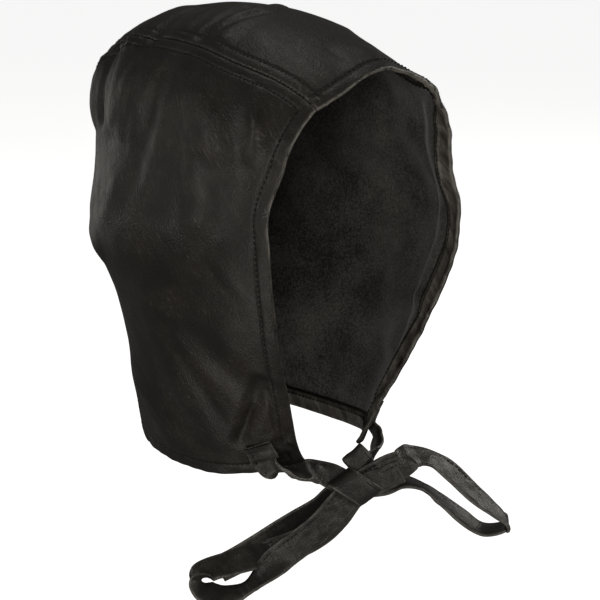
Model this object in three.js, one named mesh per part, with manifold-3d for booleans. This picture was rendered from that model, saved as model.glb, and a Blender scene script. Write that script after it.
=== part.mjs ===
// Leather coif: a close hood of thin leather, open at the face and the neck, tied in a bow under the chin.
// Millimetres. +Z is up, the wearer looks along -Y, the wearer's right is -X.
// The origin is inside the crown, where the top of the head touches the leather.
import * as THREE from "three";
import Module from "manifold-3d";

// Leather
const WALL = 1.5;
const HEM_THICK = 3;
const HEM_WIDE = 10;
const SEAM_LAP = 8;
const SEAM_LAP_THICK = 2.5;
const STEP = 1.5;
const SEAM_GAP = 0.3;

// Levels of the head side of the leather, from the neck up to where the crown begins to close.
// squareness is that of the back: 2 is an ellipse, more is boxier
const CROWN_BASE = -68;
const LEVELS = [
  { z: -242, side: 60, front: -77, middle: -21, back: 52, squareness: 2.6 },
  { z: -200, side: 73, front: -101, middle: -24, back: 55, squareness: 2.3 },
  { z: -153, side: 88, front: -127, middle: -26, back: 63, squareness: 2.1 },
  { z: -110, side: 92, front: -135, middle: -28, back: 70, squareness: 2.6 },
  { z: CROWN_BASE, side: 76, front: -138, middle: -31, back: 80, squareness: 2.6 },
];
const FRONT_SQUARENESS = 2.3;

// Face edge seen from the side
const FACE_EDGE = [
  { z: -242, y: -75 },
  { z: -200, y: -89 },
  { z: -153, y: -101 },
  { z: -112, y: -103 },
  { z: -90, y: -99 },
  { z: -66, y: -102 },
  { z: -40, y: -105 },
];

// Neck edge: level at the corners and the back, lower at the sides
const NECK_EDGE_Z = -242;
const NECK_SIDE_DROP = 10;
const LEVEL_REACH = 15;
const BROW_BLEND = 6;

// Seams beside the crown strip: degrees turned over the crown from the brow to the back,
// and then 180 plus the millimetres below the crown base
const STRIP_CENTRE_Y = -27;
const BROW_TURN = 16.5;
const CORNER_TURN = 150;
const BACK_TURN = 180;
const SEAMS = [
  { way: 16, half: 42 },
  { way: 52, half: 51 },
  { way: 95, half: 50.5 },
  { way: 180, half: 46 },
  { way: 262, half: 48 },
  { way: 354, half: 50 },
];

// Arch of the brow edge over its corners, in degrees: it leans to the left and dies out over the crown
const BROW_ARCH = 8.5;
const BROW_LEAN = 0.36;
const BROW_HELD = 10;
const BROW_FADE = 60;

// Folds and dents: a line on the leather, its half width and its lift (below zero for a valley)
const FOLDS = [
  { name: "brow peak", from: [2, -112, -36], to: [8, -98, -28], wide: 28, lift: 4 },
  { name: "left seam dip", from: [46, -86, -32], to: [44, -66, -23], wide: 22, lift: -4 },
  { name: "left brow corner", from: [52, -93, -38], to: [66, -98, -82], wide: 20, lift: 1.5 },
  { name: "left brow lip", from: [28, -107, -36], to: [44, -101, -40], wide: 14, lift: 3 },
  { name: "nape bulge", from: [-84, 20, -128], to: [-66, 48, -124], wide: 12, lift: 2 },
  { name: "back hollow", from: [-78, 30, -98], to: [-60, 56, -96], wide: 26, lift: -2.5 },
  { name: "nape tuck side", from: [-88, -2, -152], to: [-76, 30, -151], wide: 32, lift: -2.5 },
  { name: "nape tuck back", from: [-66, 42, -151], to: [-20, 62, -150], wide: 26, lift: -4 },
  { name: "neck hollow side", from: [-82, -8, -182], to: [-70, 26, -180], wide: 34, lift: -2 },
  { name: "neck hollow back", from: [-58, 42, -180], to: [0, 57, -178], wide: 32, lift: -2 },
  { name: "crown pucker back", from: [-52, 30, -20], to: [-15, 32, -4], wide: 10, lift: 1 },
  { name: "crown pucker valley", from: [-50, 12, -16], to: [-14, 14, -3], wide: 9, lift: -2.5 },
  { name: "crown pucker middle", from: [-46, -6, -14], to: [-5, 0, 0], wide: 9, lift: 1 },
  { name: "crown crease", from: [-44, -24, -15], to: [-8, -17, -2], wide: 7, lift: -2 },
  { name: "crown pucker front", from: [-42, -38, -16], to: [6, -26, -2], wide: 10, lift: 2 },
  { name: "seam gather 1", from: [-51, 28, -20], to: [-71, 20, -56], wide: 8, lift: 1.5 },
  { name: "seam gather 2", from: [-51, 42, -26], to: [-70, 36, -60], wide: 7, lift: -3 },
  { name: "seam gather 3", from: [-50, 55, -34], to: [-66, 50, -64], wide: 8, lift: 2 },
  { name: "side swell", from: [-67, -47, -40], to: [-83, -66, -98], wide: 14, lift: 2 },
  { name: "temple pleat", from: [-56, -78, -38], to: [-67, -88, -64], wide: 8, lift: 1.5 },
  { name: "jaw dent", from: [-80, -60, -165], to: [-66, -80, -195], wide: 16, lift: -2.5 },
  { name: "jaw swell", from: [-78, -30, -185], to: [-66, -50, -225], wide: 16, lift: 2 },
  { name: "neck fold", from: [-69, 12, -198], to: [-62, -12, -236], wide: 14, lift: 1.5 },
  { name: "tie pucker", from: [-60, -84, -186], to: [-55, -62, -224], wide: 8, lift: -2.5 },
  { name: "left side swell", from: [70, -40, -45], to: [84, -60, -110], wide: 16, lift: 2 },
  { name: "left seam gather 1", from: [52, 24, -20], to: [70, 18, -58], wide: 9, lift: 2.5 },
  { name: "left seam gather 2", from: [52, 44, -28], to: [68, 38, -62], wide: 8, lift: -2.5 },
  { name: "left hem hollow, upper", from: [66, -92, -58], to: [79, -88, -108], wide: 16, lift: -6 },
  { name: "left hem hollow, lower", from: [80, -87, -124], to: [72, -85, -164], wide: 16, lift: -5.5 },
  { name: "left cheek hollow", from: [84, -90, -160], to: [54, -76, -232], wide: 36, lift: -5.5 },
  { name: "left nape tuck back", from: [8, 64, -150], to: [58, 48, -148], wide: 24, lift: -3 },
  { name: "left nape tuck side", from: [70, 36, -146], to: [84, 8, -144], wide: 28, lift: -2 },
  { name: "left neck hollow", from: [56, 42, -176], to: [78, 4, -178], wide: 32, lift: -2 },
  { name: "left jaw dent", from: [82, -45, -150], to: [72, -58, -190], wide: 18, lift: -3 },
  { name: "left neck fold", from: [70, 6, -200], to: [62, -16, -236], wide: 12, lift: 2 },
];

// Stations along the edges of a side panel, and rings from its edge to its middle
const TOP_STATIONS = 24;
const BACK_STATIONS = 19;
const NECK_STATIONS = 16;
const FACE_STATIONS = 22;
const RINGS = 7;
const STRIP_LINES = 6;
const BROW_DEGREES_PER_MM = 0.66;
const PANEL_MIDDLE = [85, -25, -140];

// Search along a ray for the leather: farthest reach and number of halvings
const RAY_REACH = 260;
const RAY_HALVINGS = 34;
const NORMAL_REACH = 0.6;

// Ties: leather straps of two layers
const TIE_WIDE = 16;
const TIE_THICK = 1.8;
const TIE_GAP = 0.4;
const STRAND_GAP = 0.8;
const SLIVER = 0.02;

// Sewn end of a tie: points on the leather of the wearer's left side, down to the neck edge
const SEWN = [[50, -69, -226], [47, -69.5, -232], [44, -70, -238]];
const SEWN_EDGE = [0.48, -0.8, 0.43];
const SEWN_CLEAR = 0.8;

// The bow hangs in its own frame: across to the wearer's left, up, and out towards the viewer.
// lean and tip are the strap's edge direction: degrees up from across, and degrees towards the viewer
const BOW_AT = [2, -91, -260];
const BOW_TURN = 26;
const BOW_TILT = 12;
const NEAR_TIE = [
  { across: -45.5, up: 16.6, out: 10, lean: -150, tip: -72, wide: 14 },
  { across: -37, up: 13.5, out: 8.5, lean: 66, tip: -76 },
  { across: -28, up: 12.6, out: 4.5, lean: 62, tip: -58 },
  { across: -20, up: 11, out: -0.8, lean: 58, tip: -46 },
  { across: -12, up: 7.5, out: -1.2, lean: 40, tip: -18, wide: 15 },
  { across: 0, up: 1, out: -1.3, lean: 80, tip: 0, wide: 14.5 },
  { across: 11, up: 4.2, out: -0.8, lean: 110, tip: -6, wide: 15.5 },
  { across: 20.5, up: 8.3, out: 0.6, lean: 99, tip: 0 },
  { across: 28.8, up: 10.4, out: 1.6, lean: 88, tip: 0, wide: 17 },
  { across: 34, up: 13.6, out: 0, lean: 89, tip: -42 },
  { across: 39.8, up: 13.2, out: -4, lean: 86, tip: -53 },
  { across: 48.6, up: 10.6, out: -5, lean: 76, tip: -57 },
  { across: 59.5, up: 2.7, out: -4, lean: 44, tip: -42 },
  { across: 73, up: -12, out: -2, lean: 40, tip: -44 },
  { across: 83, up: -21.5, out: 0, lean: 34, tip: -55 },
  { across: 90.5, up: -29, out: 1, lean: 20, tip: -66 },
  { across: 91.5, up: -32, out: -0.5, lean: 20, tip: -68 },
  { across: 87, up: -34.2, out: -2.5, lean: 30, tip: -68 },
  { across: 78, up: -33.8, out: -5, lean: 37, tip: -62 },
  { across: 67.5, up: -26, out: -6.5, lean: 48, tip: -55 },
  { across: 54, up: -14, out: -6.5, lean: 42, tip: -64 },
  { across: 42, up: -4.5, out: -6, lean: 40, tip: -74 },
  { across: 28.7, up: 0.4, out: -5.4, lean: 90, tip: -60 },
  { across: 18, up: 0.4, out: -4.2, lean: 108, tip: -16 },
  { across: 2, up: -0.6, out: -3.7, lean: 116, tip: 0, wide: 14.5 },
  { across: -9, up: -4, out: -4.2, lean: 121, tip: 8 },
  { across: -18, up: -10, out: -6, lean: 123, tip: 20 },
  { across: -30.5, up: -16, out: -7.6, lean: 125, tip: 20 },
  { across: -43, up: -22.5, out: -8.6, lean: 131, tip: 11 },
  { across: -54, up: -29, out: -11, lean: 131, tip: 4 },
  { across: -66, up: -35.5, out: -14, lean: 129, tip: 0 },
  { across: -76, up: -40, out: -17, lean: 128, tip: 0 },
];
const NEAR_TIE_TURN = 16;
const FAR_TIE = [
  { across: 26, up: 24.5, out: -30, lean: 100, tip: 76 },
  { across: 24.5, up: 20.5, out: -26.5, lean: 100, tip: 80 },
  { across: 22.5, up: 17.5, out: -21.5, lean: 110, tip: 80 },
  { across: 19.5, up: 15.2, out: -16, lean: 130, tip: 76, wide: 14 },
  { across: 15, up: 12.5, out: -11, lean: 160, tip: 50, wide: 14 },
  { across: 10.5, up: 8, out: -8, lean: 190, tip: 12 },
  { across: 6, up: 2, out: -6.6, lean: 208, tip: 0, wide: 15 },
];
const UPPER_TURN = [
  { across: 9.5, up: 9, out: -7, lean: 34, tip: 0, wide: 14 },
  { across: 5.5, up: 14.5, out: -7, lean: 34, tip: 0, wide: 14 },
  { across: 2.6, up: 18, out: -6.4, lean: 34, tip: 0, wide: 14 },
  { across: 2, up: 19, out: -5, lean: 34, tip: 0, wide: 14 },
  { across: 2.8, up: 18.2, out: -3.8, lean: 34, tip: 0, wide: 14 },
  { across: 5.5, up: 15, out: -3.2, lean: 34, tip: 0, wide: 14 },
  { across: 8, up: 12, out: -3.2, lean: 34, tip: 0, wide: 14 },
];
const LOWER_LOOP = [
  { across: 27, up: 7, out: 4.6, lean: 114, tip: -10, wide: 13 },
  { across: 18, up: 4, out: 4.2, lean: 114, tip: -10, wide: 13 },
  { across: 8, up: 1.4, out: 3.6, lean: 118, tip: -6, wide: 14 },
  { across: -3, up: -2, out: 3.4, lean: 126, tip: 0, wide: 15 },
  { across: -11.5, up: -9, out: 4, lean: 133, tip: 0 },
  { across: -21, up: -17.3, out: 5, lean: 135, tip: 0 },
  { across: -33, up: -25.2, out: 5, lean: 135, tip: -4 },
  { across: -44.3, up: -31.8, out: 4.5, lean: 131, tip: -12 },
  { across: -52.5, up: -37.5, out: 4, lean: 126, tip: -46 },
  { across: -59, up: -42.8, out: 3.5, lean: 118, tip: -74 },
  { across: -65, up: -46.8, out: 3.5, lean: 112, tip: -84 },
  { across: -73, up: -49.4, out: 3.2, lean: 102, tip: -68 },
  { across: -81.5, up: -49.6, out: 3, lean: 88, tip: -50 },
  { across: -88.4, up: -46.2, out: 1.4, lean: 70, tip: -44 },
  { across: -90.6, up: -41.6, out: -1.4, lean: 62, tip: -46 },
  { across: -88.6, up: -38.2, out: -4, lean: 64, tip: -52 },
  { across: -82.6, up: -36.4, out: -6, lean: 80, tip: -52 },
  { across: -73, up: -35, out: -6.5, lean: 84, tip: -48 },
  { across: -57.5, up: -32.6, out: -6, lean: 92, tip: -38 },
  { across: -43.5, up: -30.4, out: -4, lean: 106, tip: -24 },
  { across: -30, up: -26.5, out: -1.6, lean: 120, tip: -14 },
  { across: -19, up: -21, out: -0.2, lean: 126, tip: -8 },
  { across: -10, up: -13.6, out: 0.6, lean: 132, tip: -4 },
  { across: -2, up: -5.5, out: 1, lean: 130, tip: 0, wide: 15 },
  { across: 4, up: -1, out: 2.4, lean: 126, tip: 0, wide: 14 },
];
const LOWER_LOOP_TURN = 14;
// The wrap about the knot, seen along its fold lines: along the strap and out
const WRAP_AT = [0.5, 0.5];
const WRAP_ALONG = [0.8, -0.6];
const WRAP_FOLD = [0.885, 0.466];
const WRAP_WIDE = 17;
const WRAP = [
  [-6.5, 6.4], [0, 6.8], [6.5, 6.4], [9.9, 4.4], [10.7, 0], [9.9, -4.2],
  [6.5, -6.3], [0, -6.5], [-6.5, -6.3], [-9.9, -4.2], [-10.7, 0], [-9.9, 4.4],
];
const STRAP_STEPS = 2;

// Colours
const LEATHER_BLACK = 0x2b2926;
const TIE_BLACK = 0x322f2b;

const mix = (a, b, t) => a + (b - a) * t;

// Smooth curve through table rows; flatTop ends it level
function curveAt(rows, column, at, value, flatTop = false) {
  const last = rows.length - 1;
  let i = 0;
  while (i < last - 1 && at > rows[i + 1][column]) i += 1;
  const slope = (k) => {
    if (k === 0) return (rows[1][value] - rows[0][value]) / (rows[1][column] - rows[0][column]);
    if (k === last) {
      if (flatTop) return 0;
      return (rows[k][value] - rows[k - 1][value]) / (rows[k][column] - rows[k - 1][column]);
    }
    return (rows[k + 1][value] - rows[k - 1][value]) / (rows[k + 1][column] - rows[k - 1][column]);
  };
  const span = rows[i + 1][column] - rows[i][column];
  const t = (at - rows[i][column]) / span;
  const a = 2 * t ** 3 - 3 * t ** 2 + 1;
  const b = t ** 3 - 2 * t ** 2 + t;
  const c = -2 * t ** 3 + 3 * t ** 2;
  const d = t ** 3 - t ** 2;
  return a * rows[i][value] + b * span * slope(i) + c * rows[i + 1][value] + d * span * slope(i + 1);
}

// One level of the head side: half width, front, middle, back and squareness, closing over the crown
function levelAt(z) {
  const inTable = Math.min(Math.max(z, NECK_EDGE_Z - LEVEL_REACH), CROWN_BASE);
  const side = curveAt(LEVELS, "z", inTable, "side", true);
  const front = curveAt(LEVELS, "z", inTable, "front", true);
  const middle = curveAt(LEVELS, "z", inTable, "middle", true);
  const back = curveAt(LEVELS, "z", inTable, "back", true);
  const rise = Math.min(Math.max(1 - z / CROWN_BASE, 0), 1);
  const close = Math.sqrt(1 - rise * rise);
  const centre = middle * (1 - rise);
  return {
    side: side * close,
    front: centre - (middle - front) * close,
    middle: centre,
    back: centre + (back - middle) * close,
    squareness: curveAt(LEVELS, "z", inTable, "squareness", true),
  };
}

// Below zero inside the head side of the leather, above zero outside
function field(x, y, z) {
  if (z > 0) return 9;
  const row = levelAt(Math.min(z, -1e-4));
  const ahead = y < row.middle;
  const power = ahead ? FRONT_SQUARENESS : row.squareness;
  const depth = ahead ? row.front - row.middle : row.back - row.middle;
  const reach = (y - row.middle) / depth;
  return (Math.abs(x) / row.side) ** power + Math.max(reach, 0) ** power - 1;
}

// The point where a ray from inside meets the head side of the leather
function reachFrom(start, way) {
  let near = 0;
  let far = RAY_REACH;
  for (let step = 0; step < RAY_HALVINGS; step += 1) {
    const mid = (near + far) / 2;
    const p = start.clone().addScaledVector(way, mid);
    if (field(p.x, p.y, p.z) < 0) near = mid;
    else far = mid;
  }
  return start.clone().addScaledVector(way, near);
}

// The inside point that looks squarely at p
function coreOf(p) {
  const z = Math.min(p.z, CROWN_BASE);
  return new THREE.Vector3(0, levelAt(z).middle, z);
}

// The point of the head side that is seen from inside on the same ray as p
function settle(p) {
  const core = coreOf(p);
  return reachFrom(core, p.clone().sub(core).normalize());
}

// Square to the head side at p, pointing out
function normalAt(p) {
  const way = p.clone().sub(coreOf(p)).normalize();
  const across = new THREE.Vector3(0, 0, 1).cross(way);
  if (across.length() < 0.05) across.set(1, 0, 0);
  across.normalize();
  const along = way.clone().cross(across);
  const beside = (line, reach) => settle(p.clone().addScaledVector(line, reach));
  const a = beside(across, NORMAL_REACH).sub(beside(across, -NORMAL_REACH));
  const b = beside(along, NORMAL_REACH).sub(beside(along, -NORMAL_REACH));
  const normal = a.cross(b).normalize();
  return normal.dot(way) < 0 ? normal.negate() : normal;
}

// Sum of the folds at p
function liftAt(p) {
  let lift = 0;
  for (const fold of FOLDS) {
    const from = new THREE.Vector3(...fold.from);
    const line = new THREE.Vector3(...fold.to).sub(from);
    const t = Math.min(Math.max(p.clone().sub(from).dot(line) / line.lengthSq(), 0), 1);
    const off = p.distanceTo(from.addScaledVector(line, t)) / fold.wide;
    if (off < 1) lift += fold.lift * (1 - off * off) ** 2;
  }
  return lift;
}

// A point of the strip or of its seam: a way along it and a distance from the middle line
function stripPoint(way, x) {
  if (way <= BACK_TURN) {
    const turn = THREE.MathUtils.degToRad(way);
    const start = new THREE.Vector3(x, STRIP_CENTRE_Y, CROWN_BASE);
    return reachFrom(start, new THREE.Vector3(0, -Math.cos(turn), Math.sin(turn)));
  }
  const z = CROWN_BASE - (way - BACK_TURN);
  return reachFrom(new THREE.Vector3(x, STRIP_CENTRE_Y, z), new THREE.Vector3(0, 1, 0));
}

// Half the width of the strip
function seamHalf(way) {
  return curveAt(SEAMS, "way", way, "half");
}

// Height of the neck edge
function neckEdge(x) {
  const low = levelAt(NECK_EDGE_Z);
  return NECK_EDGE_Z - NECK_SIDE_DROP * (Math.abs(x) / low.side) ** FRONT_SQUARENESS;
}

// Stations of the seam, from the brow to the turn at the back and on to the neck edge
const NECK_WAY = BACK_TURN + CROWN_BASE - neckEdge(SEAMS[SEAMS.length - 1].half);
const SEAM_WAYS = [];
for (let k = 0; k < TOP_STATIONS; k += 1) SEAM_WAYS.push(mix(BROW_TURN, CORNER_TURN, k / TOP_STATIONS));
for (let k = 0; k <= BACK_STATIONS; k += 1) SEAM_WAYS.push(mix(CORNER_TURN, NECK_WAY, k / BACK_STATIONS));

// The edge of a side panel as one loop: seam from brow to nape, neck edge forward, face edge up to the brow.
// side is -1 for the wearer's right and 1 for the left
function panelLoop(side) {
  const loop = SEAM_WAYS.map((way) => stripPoint(way, side * (seamHalf(way) + SEAM_GAP / 2)));
  const brow = loop[0];
  const nape = loop[loop.length - 1];
  const low = levelAt(NECK_EDGE_Z);
  const faceAt = (share) => {
    const z = mix(brow.z, NECK_EDGE_Z, share);
    const y = mix(curveAt(FACE_EDGE, "z", z, "y"), brow.y, (1 - share) ** BROW_BLEND);
    const row = levelAt(z);
    const ahead = (row.middle - y) / (row.middle - row.front);
    const aside = (1 - ahead ** FRONT_SQUARENESS) ** (1 / FRONT_SQUARENESS);
    return new THREE.Vector3(side * row.side * aside, y, z);
  };
  const corner = faceAt(1);
  const turnFrom = Math.atan2(Math.abs(nape.x), low.middle - nape.y);
  const turnTo = Math.atan2(Math.abs(corner.x), low.middle - corner.y);
  for (let k = 1; k < NECK_STATIONS; k += 1) {
    const turn = mix(turnFrom, turnTo, k / NECK_STATIONS);
    const way = new THREE.Vector3(side * Math.sin(turn), -Math.cos(turn), 0);
    let p = corner;
    for (let pass = 0; pass < 3; pass += 1) {
      p = reachFrom(new THREE.Vector3(0, low.middle, pass === 0 ? NECK_EDGE_Z : neckEdge(p.x)), way);
    }
    loop.push(p);
  }
  for (let k = 0; k < FACE_STATIONS; k += 1) loop.push(faceAt(1 - k / FACE_STATIONS));
  return loop;
}

// Both faces of the leather at a point of the head form, grown by a clearance
function cellAt(p, thick, grow = 0) {
  const normal = normalAt(p);
  const lift = liftAt(p);
  return {
    outer: p.clone().addScaledVector(normal, lift + WALL + grow),
    inner: p.clone().addScaledVector(normal, lift + WALL - thick - grow),
  };
}

// A closed sheet from a grid of cells
function closedSheet(grid, name, colour) {
  const rows = grid.length;
  const lines = grid[0].length;
  const positions = [];
  for (const layer of ["outer", "inner"]) {
    for (const row of grid) {
      for (const cell of row) positions.push(cell[layer].x, cell[layer].y, cell[layer].z);
    }
  }
  const at = (layer, i, j) => layer * rows * lines + i * lines + j;
  const index = [];
  const quad = (a, b, c, d) => index.push(a, b, c, a, c, d);
  for (let i = 0; i < rows - 1; i += 1) {
    for (let j = 0; j < lines - 1; j += 1) {
      quad(at(0, i, j), at(0, i, j + 1), at(0, i + 1, j + 1), at(0, i + 1, j));
      quad(at(1, i, j), at(1, i + 1, j), at(1, i + 1, j + 1), at(1, i, j + 1));
    }
  }
  for (let j = 0; j < lines - 1; j += 1) {
    quad(at(0, 0, j + 1), at(0, 0, j), at(1, 0, j), at(1, 0, j + 1));
    quad(at(0, rows - 1, j), at(0, rows - 1, j + 1), at(1, rows - 1, j + 1), at(1, rows - 1, j));
  }
  for (let i = 0; i < rows - 1; i += 1) {
    quad(at(0, i, 0), at(0, i + 1, 0), at(1, i + 1, 0), at(1, i, 0));
    quad(at(0, i + 1, lines - 1), at(0, i, lines - 1), at(1, i, lines - 1), at(1, i + 1, lines - 1));
  }
  const geometry = new THREE.BufferGeometry();
  geometry.setAttribute("position", new THREE.Float32BufferAttribute(positions, 3));
  geometry.setIndex(index);
  return leatherMesh(facingOut(geometry), name, colour);
}

function volumeOf(geometry) {
  const p = geometry.getAttribute("position");
  const index = geometry.getIndex().array;
  let sum = 0;
  for (let i = 0; i < index.length; i += 3) {
    const [a, b, c] = [0, 1, 2].map((k) => new THREE.Vector3().fromBufferAttribute(p, index[i + k]));
    sum += a.dot(b.cross(c)) / 6;
  }
  return sum;
}

// The same geometry, its faces turned to point out
function facingOut(geometry) {
  if (volumeOf(geometry) < 0) {
    const index = geometry.getIndex().array;
    for (let i = 0; i < index.length; i += 3) [index[i + 1], index[i + 2]] = [index[i + 2], index[i + 1]];
  }
  return geometry;
}

function leatherMesh(geometry, name, colour) {
  geometry.computeVertexNormals();
  const material = new THREE.MeshStandardMaterial({ color: colour, roughness: 0.5, metalness: 0 });
  const mesh = new THREE.Mesh(geometry, material);
  mesh.name = name;
  return mesh;
}

// A closed sheet of rings about a middle cell
function ringedSheet(rings, middle, name, colour) {
  const count = rings[0].length;
  const positions = [];
  for (const layer of ["outer", "inner"]) {
    for (const ring of rings) {
      for (const cell of ring) positions.push(cell[layer].x, cell[layer].y, cell[layer].z);
    }
  }
  const hubs = ["outer", "inner"].map((layer) => {
    positions.push(middle[layer].x, middle[layer].y, middle[layer].z);
    return positions.length / 3 - 1;
  });
  const at = (layer, r, k) => (layer * rings.length + r) * count + (k % count);
  const index = [];
  const quad = (a, b, c, d) => index.push(a, b, c, a, c, d);
  for (let k = 0; k < count; k += 1) {
    for (let r = 0; r < rings.length - 1; r += 1) {
      quad(at(0, r, k), at(0, r, k + 1), at(0, r + 1, k + 1), at(0, r + 1, k));
      quad(at(1, r, k), at(1, r + 1, k), at(1, r + 1, k + 1), at(1, r, k + 1));
    }
    const last = rings.length - 1;
    index.push(at(0, last, k), at(0, last, k + 1), hubs[0]);
    index.push(at(1, last, k + 1), at(1, last, k), hubs[1]);
    quad(at(0, 0, k + 1), at(0, 0, k), at(1, 0, k), at(1, 0, k + 1));
  }
  const geometry = new THREE.BufferGeometry();
  geometry.setAttribute("position", new THREE.Float32BufferAttribute(positions, 3));
  geometry.setIndex(index);
  return leatherMesh(facingOut(geometry), name, colour);
}

// Points a set distance inside the loop, mitred at its corners
function insideLoop(loop, side, offset) {
  const count = loop.length;
  return loop.map((p, k) => {
    const before = p.clone().sub(loop[(k + count - 1) % count]).normalize();
    const after = loop[(k + 1) % count].clone().sub(p).normalize();
    const normal = normalAt(p);
    const inward = (along) => along.clone().cross(normal).normalize();
    const bisector = inward(before).add(inward(after));
    const mitre = bisector.lengthSq() / 2;
    return settle(p.clone().addScaledVector(bisector, (side * offset(k)) / Math.max(mitre, 0.5)));
  });
}

// A side panel; side is -1 for the wearer's right. Grown, it is the room the panel needs
function sidePanel(side, name, grow = 0) {
  const loop = panelLoop(side);
  const seamCount = SEAM_WAYS.length;
  const middle = settle(new THREE.Vector3(side * PANEL_MIDDLE[0], PANEL_MIDDLE[1], PANEL_MIDDLE[2]));
  const onSeam = (k) => k > 0 && k < seamCount - 1;
  const bandWide = (k) => (onSeam(k) ? SEAM_LAP : HEM_WIDE);
  const bandThick = (k) => (onSeam(k) ? SEAM_LAP_THICK : HEM_THICK);
  const edge = grow > 0 ? insideLoop(loop, side, () => -grow) : loop;
  const band = insideLoop(loop, side, bandWide);
  const wall = insideLoop(loop, side, (k) => bandWide(k) + STEP);
  const rings = [
    edge.map((p, k) => cellAt(p, bandThick(k), grow)),
    band.map((p, k) => cellAt(p, bandThick(k), grow)),
    wall.map((p) => cellAt(p, WALL, grow)),
  ];
  for (let r = 1; r < RINGS; r += 1) {
    rings.push(wall.map((p) => cellAt(settle(p.clone().lerp(middle, r / RINGS)), WALL, grow)));
  }
  return ringedSheet(rings, cellAt(middle, WALL, grow), name, LEATHER_BLACK);
}

// Degrees that the brow edge stands above its corners, at a share of the strip's half width
function browArch(way, share) {
  const held = Math.min(Math.max((BROW_TURN + BROW_HELD + BROW_FADE - way) / BROW_FADE, 0), 1);
  return BROW_ARCH * (1 - share ** 2) * (1 + BROW_LEAN * share) * held ** 2;
}

function crownStrip() {
  const half = SEAMS[1].half;
  const shares = [0, SEAM_LAP, SEAM_LAP + STEP];
  const plain = 2 * half - 2 * (SEAM_LAP + STEP);
  for (let k = 1; k < STRIP_LINES; k += 1) shares.push(SEAM_LAP + STEP + (plain * k) / STRIP_LINES);
  shares.push(2 * half - SEAM_LAP - STEP, 2 * half - SEAM_LAP, 2 * half);
  const ways = [...SEAM_WAYS];
  const hemTurn = BROW_TURN + HEM_WIDE * BROW_DEGREES_PER_MM;
  ways.splice(1, 1, hemTurn, hemTurn + STEP * BROW_DEGREES_PER_MM);
  ways.splice(ways.length - 2, 1, NECK_WAY - HEM_WIDE - STEP, NECK_WAY - HEM_WIDE);
  const grid = ways.map((way, i) => shares.map((share, j) => {
    const wide = seamHalf(way) - SEAM_GAP / 2;
    const x = wide * (share / half - 1);
    const low = Math.max((way - BACK_TURN) / (NECK_WAY - BACK_TURN), 0);
    const dip = (neckEdge(wide) - neckEdge(x)) * low ** 2;
    const p = stripPoint(way + dip + browArch(way, x / wide), x);
    const hem = i <= 1 || i >= ways.length - 2;
    const lap = j <= 1 || j >= shares.length - 2;
    return cellAt(p, hem ? HEM_THICK : lap ? SEAM_LAP_THICK : WALL);
  }));
  return closedSheet(grid, "crown_strip", LEATHER_BLACK);
}

// Frame of the bow
const bowTurn = THREE.MathUtils.degToRad(BOW_TURN);
const bowTilt = THREE.MathUtils.degToRad(BOW_TILT);
const bowAcross = new THREE.Vector3(Math.cos(bowTurn), -Math.sin(bowTurn), 0);
const bowOut = new THREE.Vector3(
  -Math.sin(bowTurn) * Math.cos(bowTilt),
  -Math.cos(bowTurn) * Math.cos(bowTilt),
  Math.sin(bowTilt),
);
const bowUp = bowOut.clone().cross(bowAcross);

// A vector of the bow's frame in the part's frame
function bowWay(across, up, out) {
  return new THREE.Vector3()
    .addScaledVector(bowAcross, across)
    .addScaledVector(bowUp, up)
    .addScaledVector(bowOut, out);
}

// A row of a tie's table as a place, an edge direction and a width
function bowStation(row) {
  const lean = THREE.MathUtils.degToRad(row.lean);
  const tip = THREE.MathUtils.degToRad(row.tip);
  const edge = bowWay(Math.cos(tip) * Math.cos(lean), Math.cos(tip) * Math.sin(lean), Math.sin(tip));
  const at = new THREE.Vector3(...BOW_AT).add(bowWay(row.across, row.up, row.out));
  return { at, edge, wide: row.wide ?? TIE_WIDE };
}

// Stations of a sewn end, laid on the outside of a side panel
function sewnStations(side) {
  const edge = new THREE.Vector3(...SEWN_EDGE);
  edge.x *= -side;
  if (side < 0) edge.negate();
  return SEWN.map(([x, y, z]) => {
    const p = settle(new THREE.Vector3(side * x, y, z));
    const off = liftAt(p) + WALL + SEWN_CLEAR + TIE_THICK / 2;
    return { at: p.clone().addScaledVector(normalAt(p), off), edge: edge.clone(), wide: TIE_WIDE };
  });
}

// A strap's section: share of the half width, share of the half thickness
const STRAP_SECTION = [
  [1, 0.5], [0.93, 1], [-0.93, 1], [-1, 0.5],
  [-1, -0.5], [-0.93, -1], [0.93, -1], [1, -0.5],
];

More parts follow.
